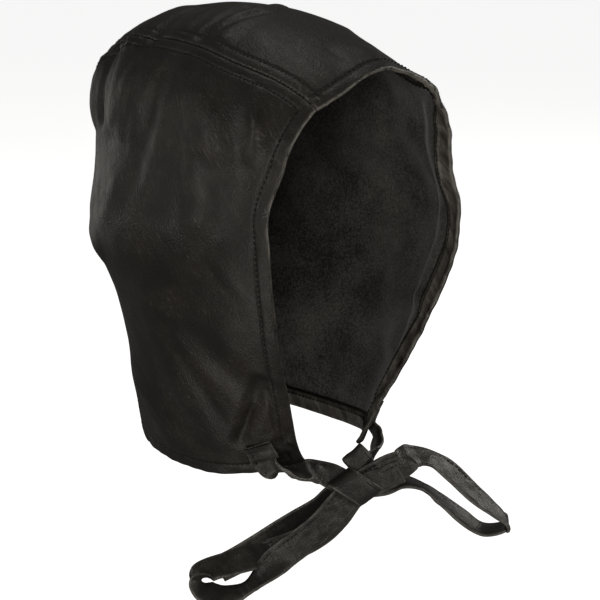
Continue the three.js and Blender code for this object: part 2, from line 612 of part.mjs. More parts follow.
// A closed strap body through its stations, from the first to the last that are asked for
function strap(stations, { looped = false, skewed = false, grow = 0, first = 0, last } = {}) {
  const centre = new THREE.CatmullRomCurve3(stations.map((s) => s.at), looped, "centripetal");
  const edges = new THREE.CatmullRomCurve3(stations.map((s) => s.edge), looped, "catmullrom", 0.5);
  const spans = stations.length - (looped ? 0 : 1);
  const rings = looped ? spans * STRAP_STEPS : ((last ?? spans) - first) * STRAP_STEPS + 1;
  const positions = [];
  for (let i = 0; i < rings; i += 1) {
    const k = first + i / STRAP_STEPS;
    const t = k / spans;
    const low = stations[Math.floor(k) % stations.length];
    const high = stations[Math.ceil(k) % stations.length];
    const at = centre.getPoint(t);
    const along = centre.getTangent(t);
    const edge = edges.getPoint(t).normalize();
    const face = along.clone().cross(edge).normalize();
    if (!skewed) edge.copy(face).cross(along).normalize();
    const wide = mix(low.wide, high.wide, k % 1) + 2 * grow;
    const thick = TIE_THICK + 2 * grow;
    for (const [w, h] of STRAP_SECTION) {
      const p = at.clone().addScaledVector(edge, (w * wide) / 2).addScaledVector(face, (h * thick) / 2);
      positions.push(p.x, p.y, p.z);
    }
  }
  const n = STRAP_SECTION.length;
  const index = [];
  const turns = looped ? rings : rings - 1;
  for (let i = 0; i < turns; i += 1) {
    const next = ((i + 1) % rings) * n;
    for (let j = 0; j < n; j += 1) {
      const a = i * n + j;
      const b = i * n + ((j + 1) % n);
      const c = next + ((j + 1) % n);
      const d = next + j;
      index.push(a, b, c, a, c, d);
    }
  }
  if (!looped) {
    const end = (rings - 1) * n;
    for (let j = 1; j < n - 1; j += 1) index.push(0, j + 1, j, end, end + j, end + j + 1);
  }
  const geometry = new THREE.BufferGeometry();
  geometry.setAttribute("position", new THREE.Float32BufferAttribute(positions, 3));
  geometry.setIndex(index);
  return facingOut(geometry);
}

const wasm = await Module();
wasm.setup();

function solid(geometry) {
  return new wasm.Manifold(new wasm.Mesh({
    numProp: 3,
    vertProperties: new Float32Array(geometry.getAttribute("position").array),
    triVerts: new Uint32Array(geometry.getIndex().array),
  }));
}

function fromSolid(body) {
  const mesh = body.getMesh();
  const geometry = new THREE.BufferGeometry();
  geometry.setAttribute("position", new THREE.Float32BufferAttribute(Array.from(mesh.vertProperties), 3));
  geometry.setIndex(Array.from(mesh.triVerts));
  return geometry;
}

const rightStations = [...sewnStations(-1), ...NEAR_TIE.map(bowStation)];
const leftStations = [...sewnStations(1), ...FAR_TIE.map(bowStation)];
const wrapStations = WRAP.map(([along, out]) => ({
  at: new THREE.Vector3(...BOW_AT).add(
    bowWay(WRAP_AT[0] + WRAP_ALONG[0] * along, WRAP_AT[1] + WRAP_ALONG[1] * along, out),
  ),
  edge: bowWay(WRAP_FOLD[0], WRAP_FOLD[1], 0),
  wide: WRAP_WIDE,
}));

// The body itself, without slivers or closed voids left by a cut
function mainBody(body) {
  const largest = body.decompose().reduce((best, piece) => (piece.volume() > best.volume() ? piece : best));
  return largest.simplify(SLIVER);
}

// A strap that comes back beside itself, made as the run before its turn and the run after it
function turnedStrap(stations, turn, grow = 0) {
  const before = solid(strap(stations, { grow, last: turn }));
  return before.add(solid(strap(stations, { grow, first: turn })));
}

const rightRoom = solid(sidePanel(-1, "room", TIE_GAP).geometry);
const leftRoom = solid(sidePanel(1, "room", TIE_GAP).geometry);
const rightTurn = SEWN.length + NEAR_TIE_TURN;
const rightBody = turnedStrap(rightStations, rightTurn).subtract(rightRoom);
const leftBody = [strap(leftStations), strap(UPPER_TURN.map(bowStation))]
  .map(solid)
  .concat(turnedStrap(LOWER_LOOP.map(bowStation), LOWER_LOOP_TURN))
  .concat(solid(strap(wrapStations, { looped: true, skewed: true })))
  .reduce((whole, piece) => whole.add(piece));
const rightStrapRoom = turnedStrap(rightStations, rightTurn, STRAND_GAP);
const leftClear = leftBody.subtract(leftRoom).subtract(rightStrapRoom);
const rightTie = leatherMesh(fromSolid(mainBody(rightBody)), "right_tie", TIE_BLACK);
const leftTie = leatherMesh(fromSolid(mainBody(leftClear)), "left_tie", TIE_BLACK);

const group = new THREE.Group();
group.name = "leather_coif";
group.add(sidePanel(-1, "right_side_panel"), sidePanel(1, "left_side_panel"), crownStrip());
group.add(rightTie, leftTie);

export default group;
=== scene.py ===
# Leather coif: a close hood of black garment leather with two ties, held up as a head holds it.
# The leather is worked out in millimetres in the frame's own axes and made into meshes in metres.
import math

import bpy
import numpy as np
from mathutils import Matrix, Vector


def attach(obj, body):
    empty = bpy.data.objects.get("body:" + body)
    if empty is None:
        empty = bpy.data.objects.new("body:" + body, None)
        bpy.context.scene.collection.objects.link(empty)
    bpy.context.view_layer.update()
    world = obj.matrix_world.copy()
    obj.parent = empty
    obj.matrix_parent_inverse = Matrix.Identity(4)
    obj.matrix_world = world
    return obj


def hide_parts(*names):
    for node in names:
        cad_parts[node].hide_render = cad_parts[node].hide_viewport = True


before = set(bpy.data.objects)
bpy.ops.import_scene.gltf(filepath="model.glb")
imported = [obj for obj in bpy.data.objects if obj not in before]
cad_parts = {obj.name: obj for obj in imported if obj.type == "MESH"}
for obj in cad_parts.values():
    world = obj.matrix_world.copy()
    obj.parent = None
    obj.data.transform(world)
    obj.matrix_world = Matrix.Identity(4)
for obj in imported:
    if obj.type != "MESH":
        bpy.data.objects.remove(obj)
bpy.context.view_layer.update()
MM = 0.001


# Side panels
# Two pieces of black nappa, one for each side of the head, cut from the face edge to the back seam.
# The grain side faces out, the flesh side in, and the face and neck edges are turned in and stitched.
def table(columns, *rows):
    """Rows of numbers as columns by name."""
    return dict(zip(columns.split(), np.array(rows, float).T))


LEATHER = 1.2
GRAIN_HEIGHT = 1.5
HEM_THICK = 2.5
HEM_WIDE = 10.4
HEM_STITCH = 7.3
LAP_THICK = 2.2
LAP_WIDE = 8.2
LAP_STITCH = 6.5
SEAM_GAP = 0.24
HEM_GROOVE = 0.7
HEM_GROOVE_WIDE = 0.8
LAP_GROOVE = 0.55
LAP_GROOVE_WIDE = 0.7
SWELL = 0.2
HEM_SWELL_IN = 3.6
HEM_SWELL_WIDE = 2.4
LAP_SWELL_IN = 3.4
LAP_SWELL_WIDE = 1.8
SEAM_SINK = 0.8
SEAM_SINK_WIDE = 1.5
GATHER_Y = 40
GATHER_Z = -30
GATHER_REACH = 26
GATHER_HEIGHT = 0.6
GATHER_LEAN = 0.8
GATHER_WAVE = 1.15
SEWN_CORNER = (36, 77, 224)
SEWN_CORNER_REACH = 13
CROWN_BASE = -68
NECK_EDGE_Z = -242
NECK_SIDE_DROP = 10
NECK_RUN_ON = 15
LEVELS = table(
    "z side front middle back squareness",
    (-242, 60, -77, -21, 52, 2.6),
    (-200, 73, -101, -24, 55, 2.3),
    (-153, 88, -127, -26, 63, 2.1),
    (-110, 92, -135, -28, 70, 2.6),
    (-68, 76, -138, -31, 80, 2.6),
)
FRONT_SQUARENESS = 2.3
FACE_EDGE = table(
    "z y", (-242, -75), (-200, -89), (-153, -101), (-112, -103), (-90, -99), (-66, -102), (-40, -105)
)
STRIP_CENTRE_Y = -27
BROW_TURN = 16.5
BROW_ARCH = 8.5
BROW_LEAN = 0.36
BROW_HELD = 10
BROW_FADE = 60
CORNER_TURN = 150
BACK_TURN = 180
SEAMS = table("way half", (16, 42), (52, 51), (95, 50.5), (180, 46), (262, 48), (354, 50))
CROWN_STEPS = 120
BACK_STEPS = 95
FACE_STEPS = 110
NECK_STEPS = 80
FARTHEST = 260.0
HALVINGS = 26


def curve_at(x, y, at, level_top=False):
    """Smooth curve through the points x, y, read at each value of at."""
    slope = np.empty(len(x))
    slope[1:-1] = (y[2:] - y[:-2]) / (x[2:] - x[:-2])
    slope[0] = (y[1] - y[0]) / (x[1] - x[0])
    slope[-1] = 0 if level_top else (y[-1] - y[-2]) / (x[-1] - x[-2])
    i = np.clip(np.searchsorted(x, at) - 1, 0, len(x) - 2)
    span = x[i + 1] - x[i]
    t = (at - x[i]) / span
    return (
        (2 * t**3 - 3 * t**2 + 1) * y[i]
        + (t**3 - 2 * t**2 + t) * span * slope[i]
        + (3 * t**2 - 2 * t**3) * y[i + 1]
        + (t**3 - t**2) * span * slope[i + 1]
    )


def level_at(z):
    """Half width, front, middle, back and back squareness of the head side at a height."""
    below = np.clip(z, NECK_EDGE_Z - NECK_RUN_ON, CROWN_BASE)
    side, front, middle, back, square = (
        curve_at(LEVELS["z"], LEVELS[name], below, level_top=True) for name in list(LEVELS)[1:]
    )
    rise = np.clip(1 - z / CROWN_BASE, 0, 1)
    close = np.sqrt(1 - rise**2)
    centre = middle * (1 - rise)
    return side * close, centre - (middle - front) * close, centre, centre + (back - middle) * close, square


def outside(p):
    """Above zero outside the head side of the leather, below zero inside."""
    y = p[..., 1]
    side, front, middle, back, square = level_at(np.minimum(p[..., 2], -1e-4))
    ahead = y < middle
    power = np.where(ahead, FRONT_SQUARENESS, square)
    reach = np.maximum((y - middle) / (np.where(ahead, front, back) - middle), 0)
    return np.where(p[..., 2] > 0, 9, (np.abs(p[..., 0]) / side) ** power + reach**power - 1)


def reach_from(start, way):
    """Where a ray from inside meets the head side of the leather."""
    near, far = np.zeros(way.shape[:-1]), np.full(way.shape[:-1], FARTHEST)
    for _ in range(HALVINGS):
        half = (near + far) / 2
        inside = outside(start + way * half[..., None]) < 0
        near, far = np.where(inside, half, near), np.where(inside, far, half)
    return start + way * near[..., None]


def unit(v):
    return v / np.linalg.norm(v, axis=-1, keepdims=True)


def core_of(p):
    """The inside point that looks squarely at p."""
    z = np.minimum(p[..., 2], CROWN_BASE)
    return np.stack([np.zeros_like(z), level_at(z)[2], z], -1)


def settle(p):
    """The point of the head side that p lies square to."""
    core = core_of(p)
    return reach_from(core, unit(p - core))


def square_to(p, reach=0.6):
    """Square to the head side at p, pointing out."""
    way = unit(p - core_of(p))
    across = np.cross((0.0, 0.0, 1.0), way)
    flat = np.linalg.norm(across, axis=-1, keepdims=True) < 0.05
    across = unit(np.where(flat, (1.0, 0.0, 0.0), across))
    along = np.cross(way, across)
    a = settle(p + across * reach) - settle(p - across * reach)
    b = settle(p + along * reach) - settle(p - along * reach)
    normal = unit(np.cross(a, b))
    return np.where(np.sum(normal * way, -1, keepdims=True) < 0, -normal, normal)


FOLDS = table(
    "x0 y0 z0 x1 y1 z1 wide lift",
    (2, -112, -36, 8, -98, -28, 28, 4),  # brow peak
    (46, -86, -32, 44, -66, -23, 22, -4),  # left seam dip
    (52, -93, -38, 66, -98, -82, 20, 1.5),  # left brow corner
    (28, -107, -36, 44, -101, -40, 14, 3),  # left brow lip
    (-84, 20, -128, -66, 48, -124, 12, 2),  # nape bulge
    (-78, 30, -98, -60, 56, -96, 26, -2.5),  # back hollow
    (-88, -2, -152, -76, 30, -151, 32, -2.5),  # nape tuck, side
    (-66, 42, -151, -20, 62, -150, 26, -4),  # nape tuck, back
    (-82, -8, -182, -70, 26, -180, 34, -2),  # neck hollow, side
    (-58, 42, -180, 0, 57, -178, 32, -2),  # neck hollow, back
    (-52, 30, -20, -15, 32, -4, 10, 1),  # crown pucker, back
    (-50, 12, -16, -14, 14, -3, 9, -2.5),  # crown pucker valley
    (-46, -6, -14, -5, 0, 0, 9, 1),  # crown pucker, middle
    (-44, -24, -15, -8, -17, -2, 7, -2),  # crown crease
    (-42, -38, -16, 6, -26, -2, 10, 2),  # crown pucker, front
    (-51, 28, -20, -71, 20, -56, 8, 1.5),  # seam gather 1
    (-51, 42, -26, -70, 36, -60, 7, -3),  # seam gather 2
    (-50, 55, -34, -66, 50, -64, 8, 2),  # seam gather 3
    (-67, -47, -40, -83, -66, -98, 14, 2),  # side swell
    (-56, -78, -38, -67, -88, -64, 8, 1.5),  # temple pleat
    (-80, -60, -165, -66, -80, -195, 16, -2.5),  # jaw dent
    (-78, -30, -185, -66, -50, -225, 16, 2),  # jaw swell
    (-69, 12, -198, -62, -12, -236, 14, 1.5),  # neck fold
    (-60, -84, -186, -55, -62, -224, 8, -2.5),  # tie pucker
    (70, -40, -45, 84, -60, -110, 16, 2),  # left side swell
    (52, 24, -20, 70, 18, -58, 9, 2.5),  # left seam gather 1
    (52, 44, -28, 68, 38, -62, 8, -2.5),  # left seam gather 2
    (66, -92, -58, 79, -88, -108, 16, -6),  # left hem hollow, upper
    (80, -87, -124, 72, -85, -164, 16, -5.5),  # left hem hollow, lower
    (84, -90, -160, 54, -76, -232, 36, -5.5),  # left cheek hollow
    (8, 64, -150, 58, 48, -148, 24, -3),  # left nape tuck, back
    (70, 36, -146, 84, 8, -144, 28, -2),  # left nape tuck, side
    (56, 42, -176, 78, 4, -178, 32, -2),  # left neck hollow
    (82, -45, -150, 72, -58, -190, 18, -3),  # left jaw dent
    (70, 6, -200, 62, -16, -236, 12, 2),  # left neck fold
)
# Finer creases than the solids hold
CREASES = table(
    "x0 y0 z0 x1 y1 z1 wide lift",
    (-42, -23, -12, -8, -28, 0, 4.5, 1.6),  # crown pleat
    (-42, -30, -13, -6, -35, 0, 4.5, -1.6),  # its shadow side
    (-35, 15, -10, -24, 9, -4, 5, 0.8),  # second crown pleat
    (-6, -97, -23, 4, -109, -28, 6, 1.0),  # wave behind the brow peak
    (-10, -84, -18, -10, -98, -24, 5, -0.9),  # its valley
    (-61, -78, -38, -65, -89, -55, 4.5, 2.7),  # temple pleat
    (-63, -85, -46, -68, -90, -60, 4.5, 2.1),
    (-66, -88, -62, -75, -91, -92, 10, 1.2),  # its soft end
    (-71, -56, -40, -75, -72, -74, 12, 2.2),  # cheek swell
    (-70, -88, -78, -79, 2, -77, 26, 3),  # fullness under the crown
    (-60, -14, -24, -78, -14, -62, 12, -1.6),  # long valley behind the ear
    (-74, -14, -48, -88, -7, -100, 14, -1.8),
    (-64, 15, -31, -75, 11, -65, 8, 1.3),  # ridge by the back seam
    (-86, -80, -118, -76, -95, -137, 8, 1.0),  # cheek ridge
    (-80, -54, -175, -58, -73, -201, 8, 0.9),  # jaw ridge
    (-87, -38, -162, -78, -48, -184, 7, -0.8),  # valley above the neck
    (-78, -48, -184, -65, -57, -213, 7, -0.8),
    (-64, 22, -202, -70, -3, -213, 7, 1.1),  # neck ridge
    (-70, -3, -213, -66, -16, -229, 6, 1.1),
    (-56, -81, -190, -57, -68, -211, 2.8, -2.6),  # pull of the tie, behind
    (-57, -74, -203, -55, -60, -225, 2.8, -2.6),
    (-56, -85, -191, -52, -83, -206, 2.6, -1.8),  # pull of the tie, before
    (-53, -84, -200, -45, -79, -219, 2.6, -1.8),
    (-44, -80, -214, -36, -80, -224, 3, -1.2),  # corner wrinkles
    (-46, -72, -226, -32, -78, -232, 2.6, 1.0),
    (-42, -76, -222, -26, -78, -236, 2.6, -1.1),
    (68, -83, -170, 40, -76, -222, 13, -3.2),  # left hem hollow, toward the corner
    (-62, 44, -66, -70, 30, -98, 5, 0.7),  # pleat down the back seam
)


def lift_at(p, folds, ends=1.0):
    """Sum of the folds of a table at p. Below 1, ends lets each fold run out toward its ends."""
    lift = np.zeros(p.shape[:-1])
    for x0, y0, z0, x1, y1, z1, wide, height in zip(*folds.values()):
        start, line = np.array((x0, y0, z0)), np.array((x1 - x0, y1 - y0, z1 - z0))
        t = np.clip((p - start) @ line / (line @ line), 0, 1)
        off = np.linalg.norm(p - start - t[..., None] * line, axis=-1) / wide
        lift += np.where(off < 1, height * (1 - off**2) ** 2 * (ends + (1 - ends) * 4 * t * (1 - t)), 0)
    return lift


def ripple(p, seed, waves, length, height):
    """Soft unevenness: waves of about one length running in many directions."""
    rng = np.random.default_rng(seed)
    ways = unit(rng.normal(size=(waves, 3))) * (2 * np.pi / length) / rng.uniform(0.7, 1.5, (waves, 1))
    phases = rng.uniform(0, 2 * np.pi, waves)
    return height * np.sin(p @ ways.T + phases).sum(-1) / np.sqrt(waves)


def step_down(distance, edge, run=0.5):
    """1 nearer than edge, 0 beyond it."""
    t = np.clip((edge - distance) / run + 0.5, 0, 1)
    return t * t * (3 - 2 * t)


def bell(distance, at, wide):
    """1 at one distance, fading to 0 on both sides of it."""
    return np.exp(-(((distance - at) / wide) ** 2))


def leather_faces(p, hem, seam):
    """Grain face and inner face, from points of the head side and their distances to edge and seam."""
    normal = square_to(p)
    lift = lift_at(p, FOLDS) + lift_at(p, CREASES, ends=0.35)
    lift += ripple(p, seed=3, waves=9, length=46, height=0.3)
    lift += ripple(p, seed=5, waves=14, length=17, height=0.09)
    lift += ripple(p, seed=9, waves=10, length=11, height=0.22) * bell(hem, 0, 9)
    gather = bell(p[..., 1], GATHER_Y, GATHER_REACH) * bell(p[..., 2], GATHER_Z, GATHER_REACH)
    gather *= bell(seam, 0, 12) * GATHER_HEIGHT
    lift += gather * np.sin((p[..., 1] - GATHER_LEAN * p[..., 2]) / GATHER_WAVE)
    crumple = bell(np.linalg.norm(np.abs(p) - SEWN_CORNER, axis=-1), 0, SEWN_CORNER_REACH)
    lift += crumple * ripple(p, seed=21, waves=12, length=8, height=0.7)
    lift += crumple * ripple(p, seed=22, waves=12, length=4.5, height=0.45)
    lift -= HEM_GROOVE * bell(hem, HEM_STITCH, HEM_GROOVE_WIDE)
    lift -= LAP_GROOVE * bell(seam, LAP_STITCH, LAP_GROOVE_WIDE)
    lift += SWELL * bell(hem, HEM_SWELL_IN, HEM_SWELL_WIDE)
    lift += SWELL * bell(seam, LAP_SWELL_IN, LAP_SWELL_WIDE)
    fold = np.clip(1 - hem / (HEM_THICK / 2), 0, 1)
    turned = (HEM_THICK / 2 - 0.15) * (1 - np.sqrt(1 - fold**2))
    sunk = SEAM_SINK * np.clip(1 - seam / SEAM_SINK_WIDE, 0, 1) ** 2
    grain = lift + GRAIN_HEIGHT - turned - sunk
    thick = LEATHER + (HEM_THICK - LEATHER) * step_down(hem, HEM_WIDE)
    thick = np.maximum(thick, LEATHER + (LAP_THICK - LEATHER) * step_down(seam, LAP_WIDE))
    inner = lift + GRAIN_HEIGHT - thick + turned
    return p + normal * grain[..., None], p + normal * inner[..., None]


def distance_to(p, line):
    """Distance from each point to a polyline."""
    start, run = line[:-1], line[1:] - line[:-1]
    length = np.sum(run**2, -1)
    flat = p.reshape(-1, 3)
    found = np.empty(len(flat))
    for i in range(0, len(flat), 2000):
        to = flat[i : i + 2000, None] - start
        t = np.clip(np.sum(to * run, -1) / length, 0, 1)
        found[i : i + 2000] = np.linalg.norm(to - t[..., None] * run, axis=-1).min(1)
    return found.reshape(p.shape[:-1])


def strip_point(way, x):
    """A point of the crown strip or of its seam: a way along it and a distance from its middle line."""
    way, x = np.broadcast_arrays(np.asarray(way, float), x)
    turn = np.radians(np.minimum(way, BACK_TURN))
    z = CROWN_BASE - np.maximum(way - BACK_TURN, 0)
    start = np.stack([x, np.full_like(x, STRIP_CENTRE_Y, dtype=float), z], -1)
    return reach_from(start, np.stack([np.zeros_like(turn), -np.cos(turn), np.sin(turn)], -1))


def seam_half(way):
    return curve_at(SEAMS["way"], SEAMS["half"], way)


def neck_edge(x):
    """Height of the neck edge, which drops toward the sides."""
    side = level_at(np.float64(NECK_EDGE_Z))[0]
    return NECK_EDGE_Z - NECK_SIDE_DROP * (np.abs(x) / side) ** FRONT_SQUARENESS


NECK_WAY = BACK_TURN + CROWN_BASE - neck_edge(SEAMS["half"][-1])
SEAM_WAYS = np.concatenate([
    np.linspace(BROW_TURN, CORNER_TURN, CROWN_STEPS + 1)[:-1],
    np.linspace(CORNER_TURN, NECK_WAY, BACK_STEPS + 1),
])


def panel_edges(side):
    """The three edges of a side panel: seam from brow to nape, neck edge forward, face edge up."""
    seam = strip_point(SEAM_WAYS, side * (seam_half(SEAM_WAYS) + SEAM_GAP / 2))
    brow, nape = seam[0], seam[-1]
    share = np.linspace(1, 0, FACE_STEPS + 1)
    z = brow[2] + (NECK_EDGE_Z - brow[2]) * share
    y = curve_at(FACE_EDGE["z"], FACE_EDGE["y"], z)
    y += (brow[1] - y) * (1 - share) ** 6
    half, front, middle, _, _ = level_at(z)
    ahead = (middle - y) / (middle - front)
    face = np.stack([side * half * (1 - ahead**FRONT_SQUARENESS) ** (1 / FRONT_SQUARENESS), y, z], -1)
    middle = level_at(np.float64(NECK_EDGE_Z))[2]
    corner = face[0]
    back, front = (math.atan2(abs(end[0]), middle - end[1]) for end in (nape, corner))
    turn = np.linspace(back, front, NECK_STEPS + 1)
    way = np.stack([side * np.sin(turn), -np.cos(turn), np.zeros_like(turn)], -1)
    neck = reach_from(np.stack([0 * turn, 0 * turn + middle, 0 * turn + NECK_EDGE_Z], -1), way)
    for _ in range(2):
        neck = reach_from(np.stack([0 * turn, 0 * turn + middle, neck_edge(neck[:, 0])], -1), way)
    neck[0], neck[-1], face[-1] = nape, corner, brow
    return [seam, neck, face]


def run_of(line):
    """Distance along a polyline at each of its points."""
    return np.concatenate([[0], np.cumsum(np.linalg.norm(np.diff(line, axis=0), axis=1))])


def along_line(values, run, at):
    """Points or directions given along a line, read at other distances along it."""
    return np.stack([np.interp(at, run, values[:, k]) for k in range(3)], -1)


CORNER_LOOK = 12


def inset(edges, side, offset):
    """The edges moved inward over the leather, cut short so that they still meet at the corners."""
    moved, cuts = [], []
    for k in range(3):
        ahead, behind = edges[(k + 1) % 3], edges[k][::-1]
        ahead, behind = ahead[CORNER_LOOK] - ahead[0], behind[CORNER_LOOK] - behind[0]
        angle = math.acos(float(unit(ahead) @ unit(behind)))
        cuts.append(offset / math.tan(angle / 2))
    for k, line in enumerate(edges):
        run = run_of(line)
        inward = side * unit(np.cross(unit(np.gradient(line, axis=0)), square_to(line)))
        at = cuts[k - 1] + run / run[-1] * (run[-1] - cuts[k - 1] - cuts[k])
        moved.append(settle(along_line(line, run, at) + offset * unit(along_line(inward, run, at))))
    for k in range(3):
        corner = (moved[k][-1] + moved[(k + 1) % 3][0]) / 2
        moved[k][-1] = moved[(k + 1) % 3][0] = settle(corner)
    return moved


def make_mesh(name, points, faces, inner_faces=()):
    """An object from points in millimetres, its faces turned to point out."""
    points, faces = np.asarray(points) * MM, np.asarray(faces)
    a, b, c, d = (points[faces[:, k]] for k in range(4))
    if np.sum(a * np.cross(b, c)) + np.sum(a * np.cross(c, d)) < 0:
        faces = faces[:, ::-1]
    mesh = bpy.data.meshes.new(name)
    mesh.from_pydata(points.tolist(), [], [list(dict.fromkeys(f)) for f in faces.tolist()])
    mesh.polygons.foreach_set("use_smooth", np.ones(len(faces), bool))
    if len(inner_faces):
        mesh.polygons.foreach_set("material_index", np.asarray(inner_faces, np.int32))
    mesh.update()
    piece = bpy.data.objects.new(name, mesh)
    bpy.context.scene.collection.objects.link(piece)
    return piece


def quads(index):
    """Quads of a grid of point numbers."""
    return np.stack([index[:-1, :-1], index[:-1, 1:], index[1:, 1:], index[1:, :-1]], -1).reshape(-1, 4)


def closed(index):
    """A grid of point numbers whose lines run round and meet themselves."""
    return np.concatenate([index, index[:, :1]], 1)


def store(piece, name, values):
    """A number for each point, for the material to read."""
    attribute = piece.data.attributes.new(name, "FLOAT", "POINT")
    attribute.data.foreach_set("value", np.asarray(values, np.float32).ravel())


# Light painted into the leather's colour, stored as a number for each point. The grain is drawn paler as a
# highlight on the rolled face and neck edges, over the real edge wear that also makes them glossier. It is
# also paler as highlights along the seam edges and between stitches, and as a sheen on the turned-in hem
# inside.
EDGE_WEAR_AND_HIGHLIGHT = 2.2
EDGE_WEAR_AND_HIGHLIGHT_WIDE = 0.75
SEAM_HIGHLIGHT = 0.5
SEAM_HIGHLIGHT_WIDE = 1.2
STITCH_HIGHLIGHT = 0.1
STITCH_HIGHLIGHT_WIDE = 0.6
TURNED_HEM_SHEEN = 1.15
RIM_HIGHLIGHT_FOOT = -170
RIM_HIGHLIGHT_RISE = 100
LEAST_RIM_HIGHLIGHT = 0.15


def leather_piece(name, p, hem, seam, around=False):
    """A sheet of leather of two faces, from points of the head side in a grid or in rings all around."""
    grain, inner = leather_faces(p, hem, seam)
    rows, lines = hem.shape
    count = rows * lines
    index = np.arange(count).reshape(rows, lines)
    if around:
        index = closed(index)
    faces = [quads(index), quads(index + count)[:, ::-1], quads(np.stack([index[0] + count, index[0]]))]
    if not around:
        faces.append(quads(np.stack([index[-1], index[-1] + count])))
        faces.append(quads(np.stack([index[:, 0], index[:, 0] + count])))
        faces.append(quads(np.stack([index[:, -1] + count, index[:, -1]])))
    # The flesh side starts 0.5 mm past the hem's raw edge, so that the step there keeps the darker grain
    # colour: a painted line of shade along the raw edge.
    flesh = (hem > HEM_WIDE + 0.5) & (seam > LAP_WIDE)
    inner_faces = np.concatenate([np.zeros(len(f), int) for f in faces])
    lone = slice(len(faces[0]), len(faces[0]) + len(faces[1]))
    inner_faces[lone] = flesh.ravel()[faces[1] - count].all(1)
    points = np.concatenate([grain.reshape(-1, 3), inner.reshape(-1, 3)])
    piece = make_mesh(name, points, np.concatenate(faces), inner_faces)
    # Painted highlights along the rim, fading from the top of the hood down toward the neck, and along the
    # seam edges
    high = np.clip((p[..., 2] - RIM_HIGHLIGHT_FOOT) / RIM_HIGHLIGHT_RISE, LEAST_RIM_HIGHLIGHT, 1)
    wear_and_highlight = EDGE_WEAR_AND_HIGHLIGHT * high * bell(hem, 0, EDGE_WEAR_AND_HIGHLIGHT_WIDE) + SEAM_HIGHLIGHT * bell(seam, 0, SEAM_HIGHLIGHT_WIDE)
    # Painted highlights on the leather between the stitches of the seam and hem rows
    wear_and_highlight += STITCH_HIGHLIGHT * bell(seam, LAP_STITCH, STITCH_HIGHLIGHT_WIDE)
    wear_and_highlight += STITCH_HIGHLIGHT * bell(hem, HEM_STITCH, STITCH_HIGHLIGHT_WIDE)
    # Painted sheen on the turned-in hem inside the hood. It stops about a millimetre short of the raw edge,
    # which leaves that painted shade line dark.
    wear_highlight_and_hem_sheen = wear_and_highlight + TURNED_HEM_SHEEN * step_down(hem, HEM_WIDE - 1)
    store(piece, "wear_and_highlight", np.concatenate([wear_and_highlight.ravel(), wear_highlight_and_hem_sheen.ravel()]))
    return piece


EDGE_RINGS = (
    0, 0.3, 0.7, 1.2, 1.8, 2.6, 3.6, 4.6, 5.4, 6, 6.5, 7, 7.6, 8.2, 8.8, 9.5, 10.1, 10.6, 11.2, 12.5
)
MIDDLE_RINGS = 62
PANEL_MIDDLE = (85, -25, -140)
LAST_RING = 0.02


def side_panel(side, name):
    """A side panel: rings that follow its three edges, closing on its middle."""
    edges = panel_edges(side)
    rings = []
    for offset in EDGE_RINGS:
        seam, neck, face = inset(edges, side, offset)
        rings.append(np.concatenate([seam[:-1], neck[:-1], face[:-1]]))
    middle = settle(np.array(PANEL_MIDDLE) * (side, 1, 1))
    last = rings[-1]
    for k in range(1, MIDDLE_RINGS + 1):
        rings.append(settle(last * (1 - k / MIDDLE_RINGS) + middle * k / MIDDLE_RINGS))
    rings[-1] = np.broadcast_to(middle, last.shape) + (rings[-2] - middle) * LAST_RING
    p = np.stack(rings)
    hem = distance_to(p, np.concatenate([edges[1], edges[2][1:]]))
    return leather_piece(name, p, hem, distance_to(p, edges[0]), around=True)


right_side = side_panel(-1, "right_side_leather")
left_side = side_panel(1, "left_side_leather")


def add(tree, kind, inputs=(), **settings):
    """Adds a node with its settings; an input takes a value or another node's output."""
    node = tree.nodes.new(kind)
    for name, value in settings.items():
        setattr(node, name, value)
    for key, value in dict(inputs).items():
        if isinstance(value, bpy.types.NodeSocket):
            tree.links.new(value, node.inputs[key])
        else:
            node.inputs[key].default_value = value
    return node


def linear(colour):
    """An sRGB hex colour as linear RGBA."""
    parts = [int(colour[k : k + 2], 16) / 255 for k in (1, 3, 5)]
    return [v / 12.92 if v <= 0.04045 else ((v + 0.055) / 1.055) ** 2.4 for v in parts] + [1]


def new_material(name):
    """An empty material and its surface shader."""
    material = bpy.data.materials.new(name)
    material.use_nodes = True
    tree = material.node_tree
    tree.nodes.clear()
    shader = add(tree, "ShaderNodeBsdfPrincipled")
    add(tree, "ShaderNodeOutputMaterial", {"Surface": shader.outputs["BSDF"]})
    return material, tree, shader


# Nappa: drum-dyed and lightly finished. A satin sheen broken by pebbled grain, pulls in the skin and fine
# pale scuffs, the edges glossier with wear. Highlights and sheen are painted paler into the colour along the
# rims, seam edges and stitch rows. The pebbles are drawn at about twice their real size, to show in the
# picture.
PULL_LEAN = -0.68
PULL_STRETCH = 9


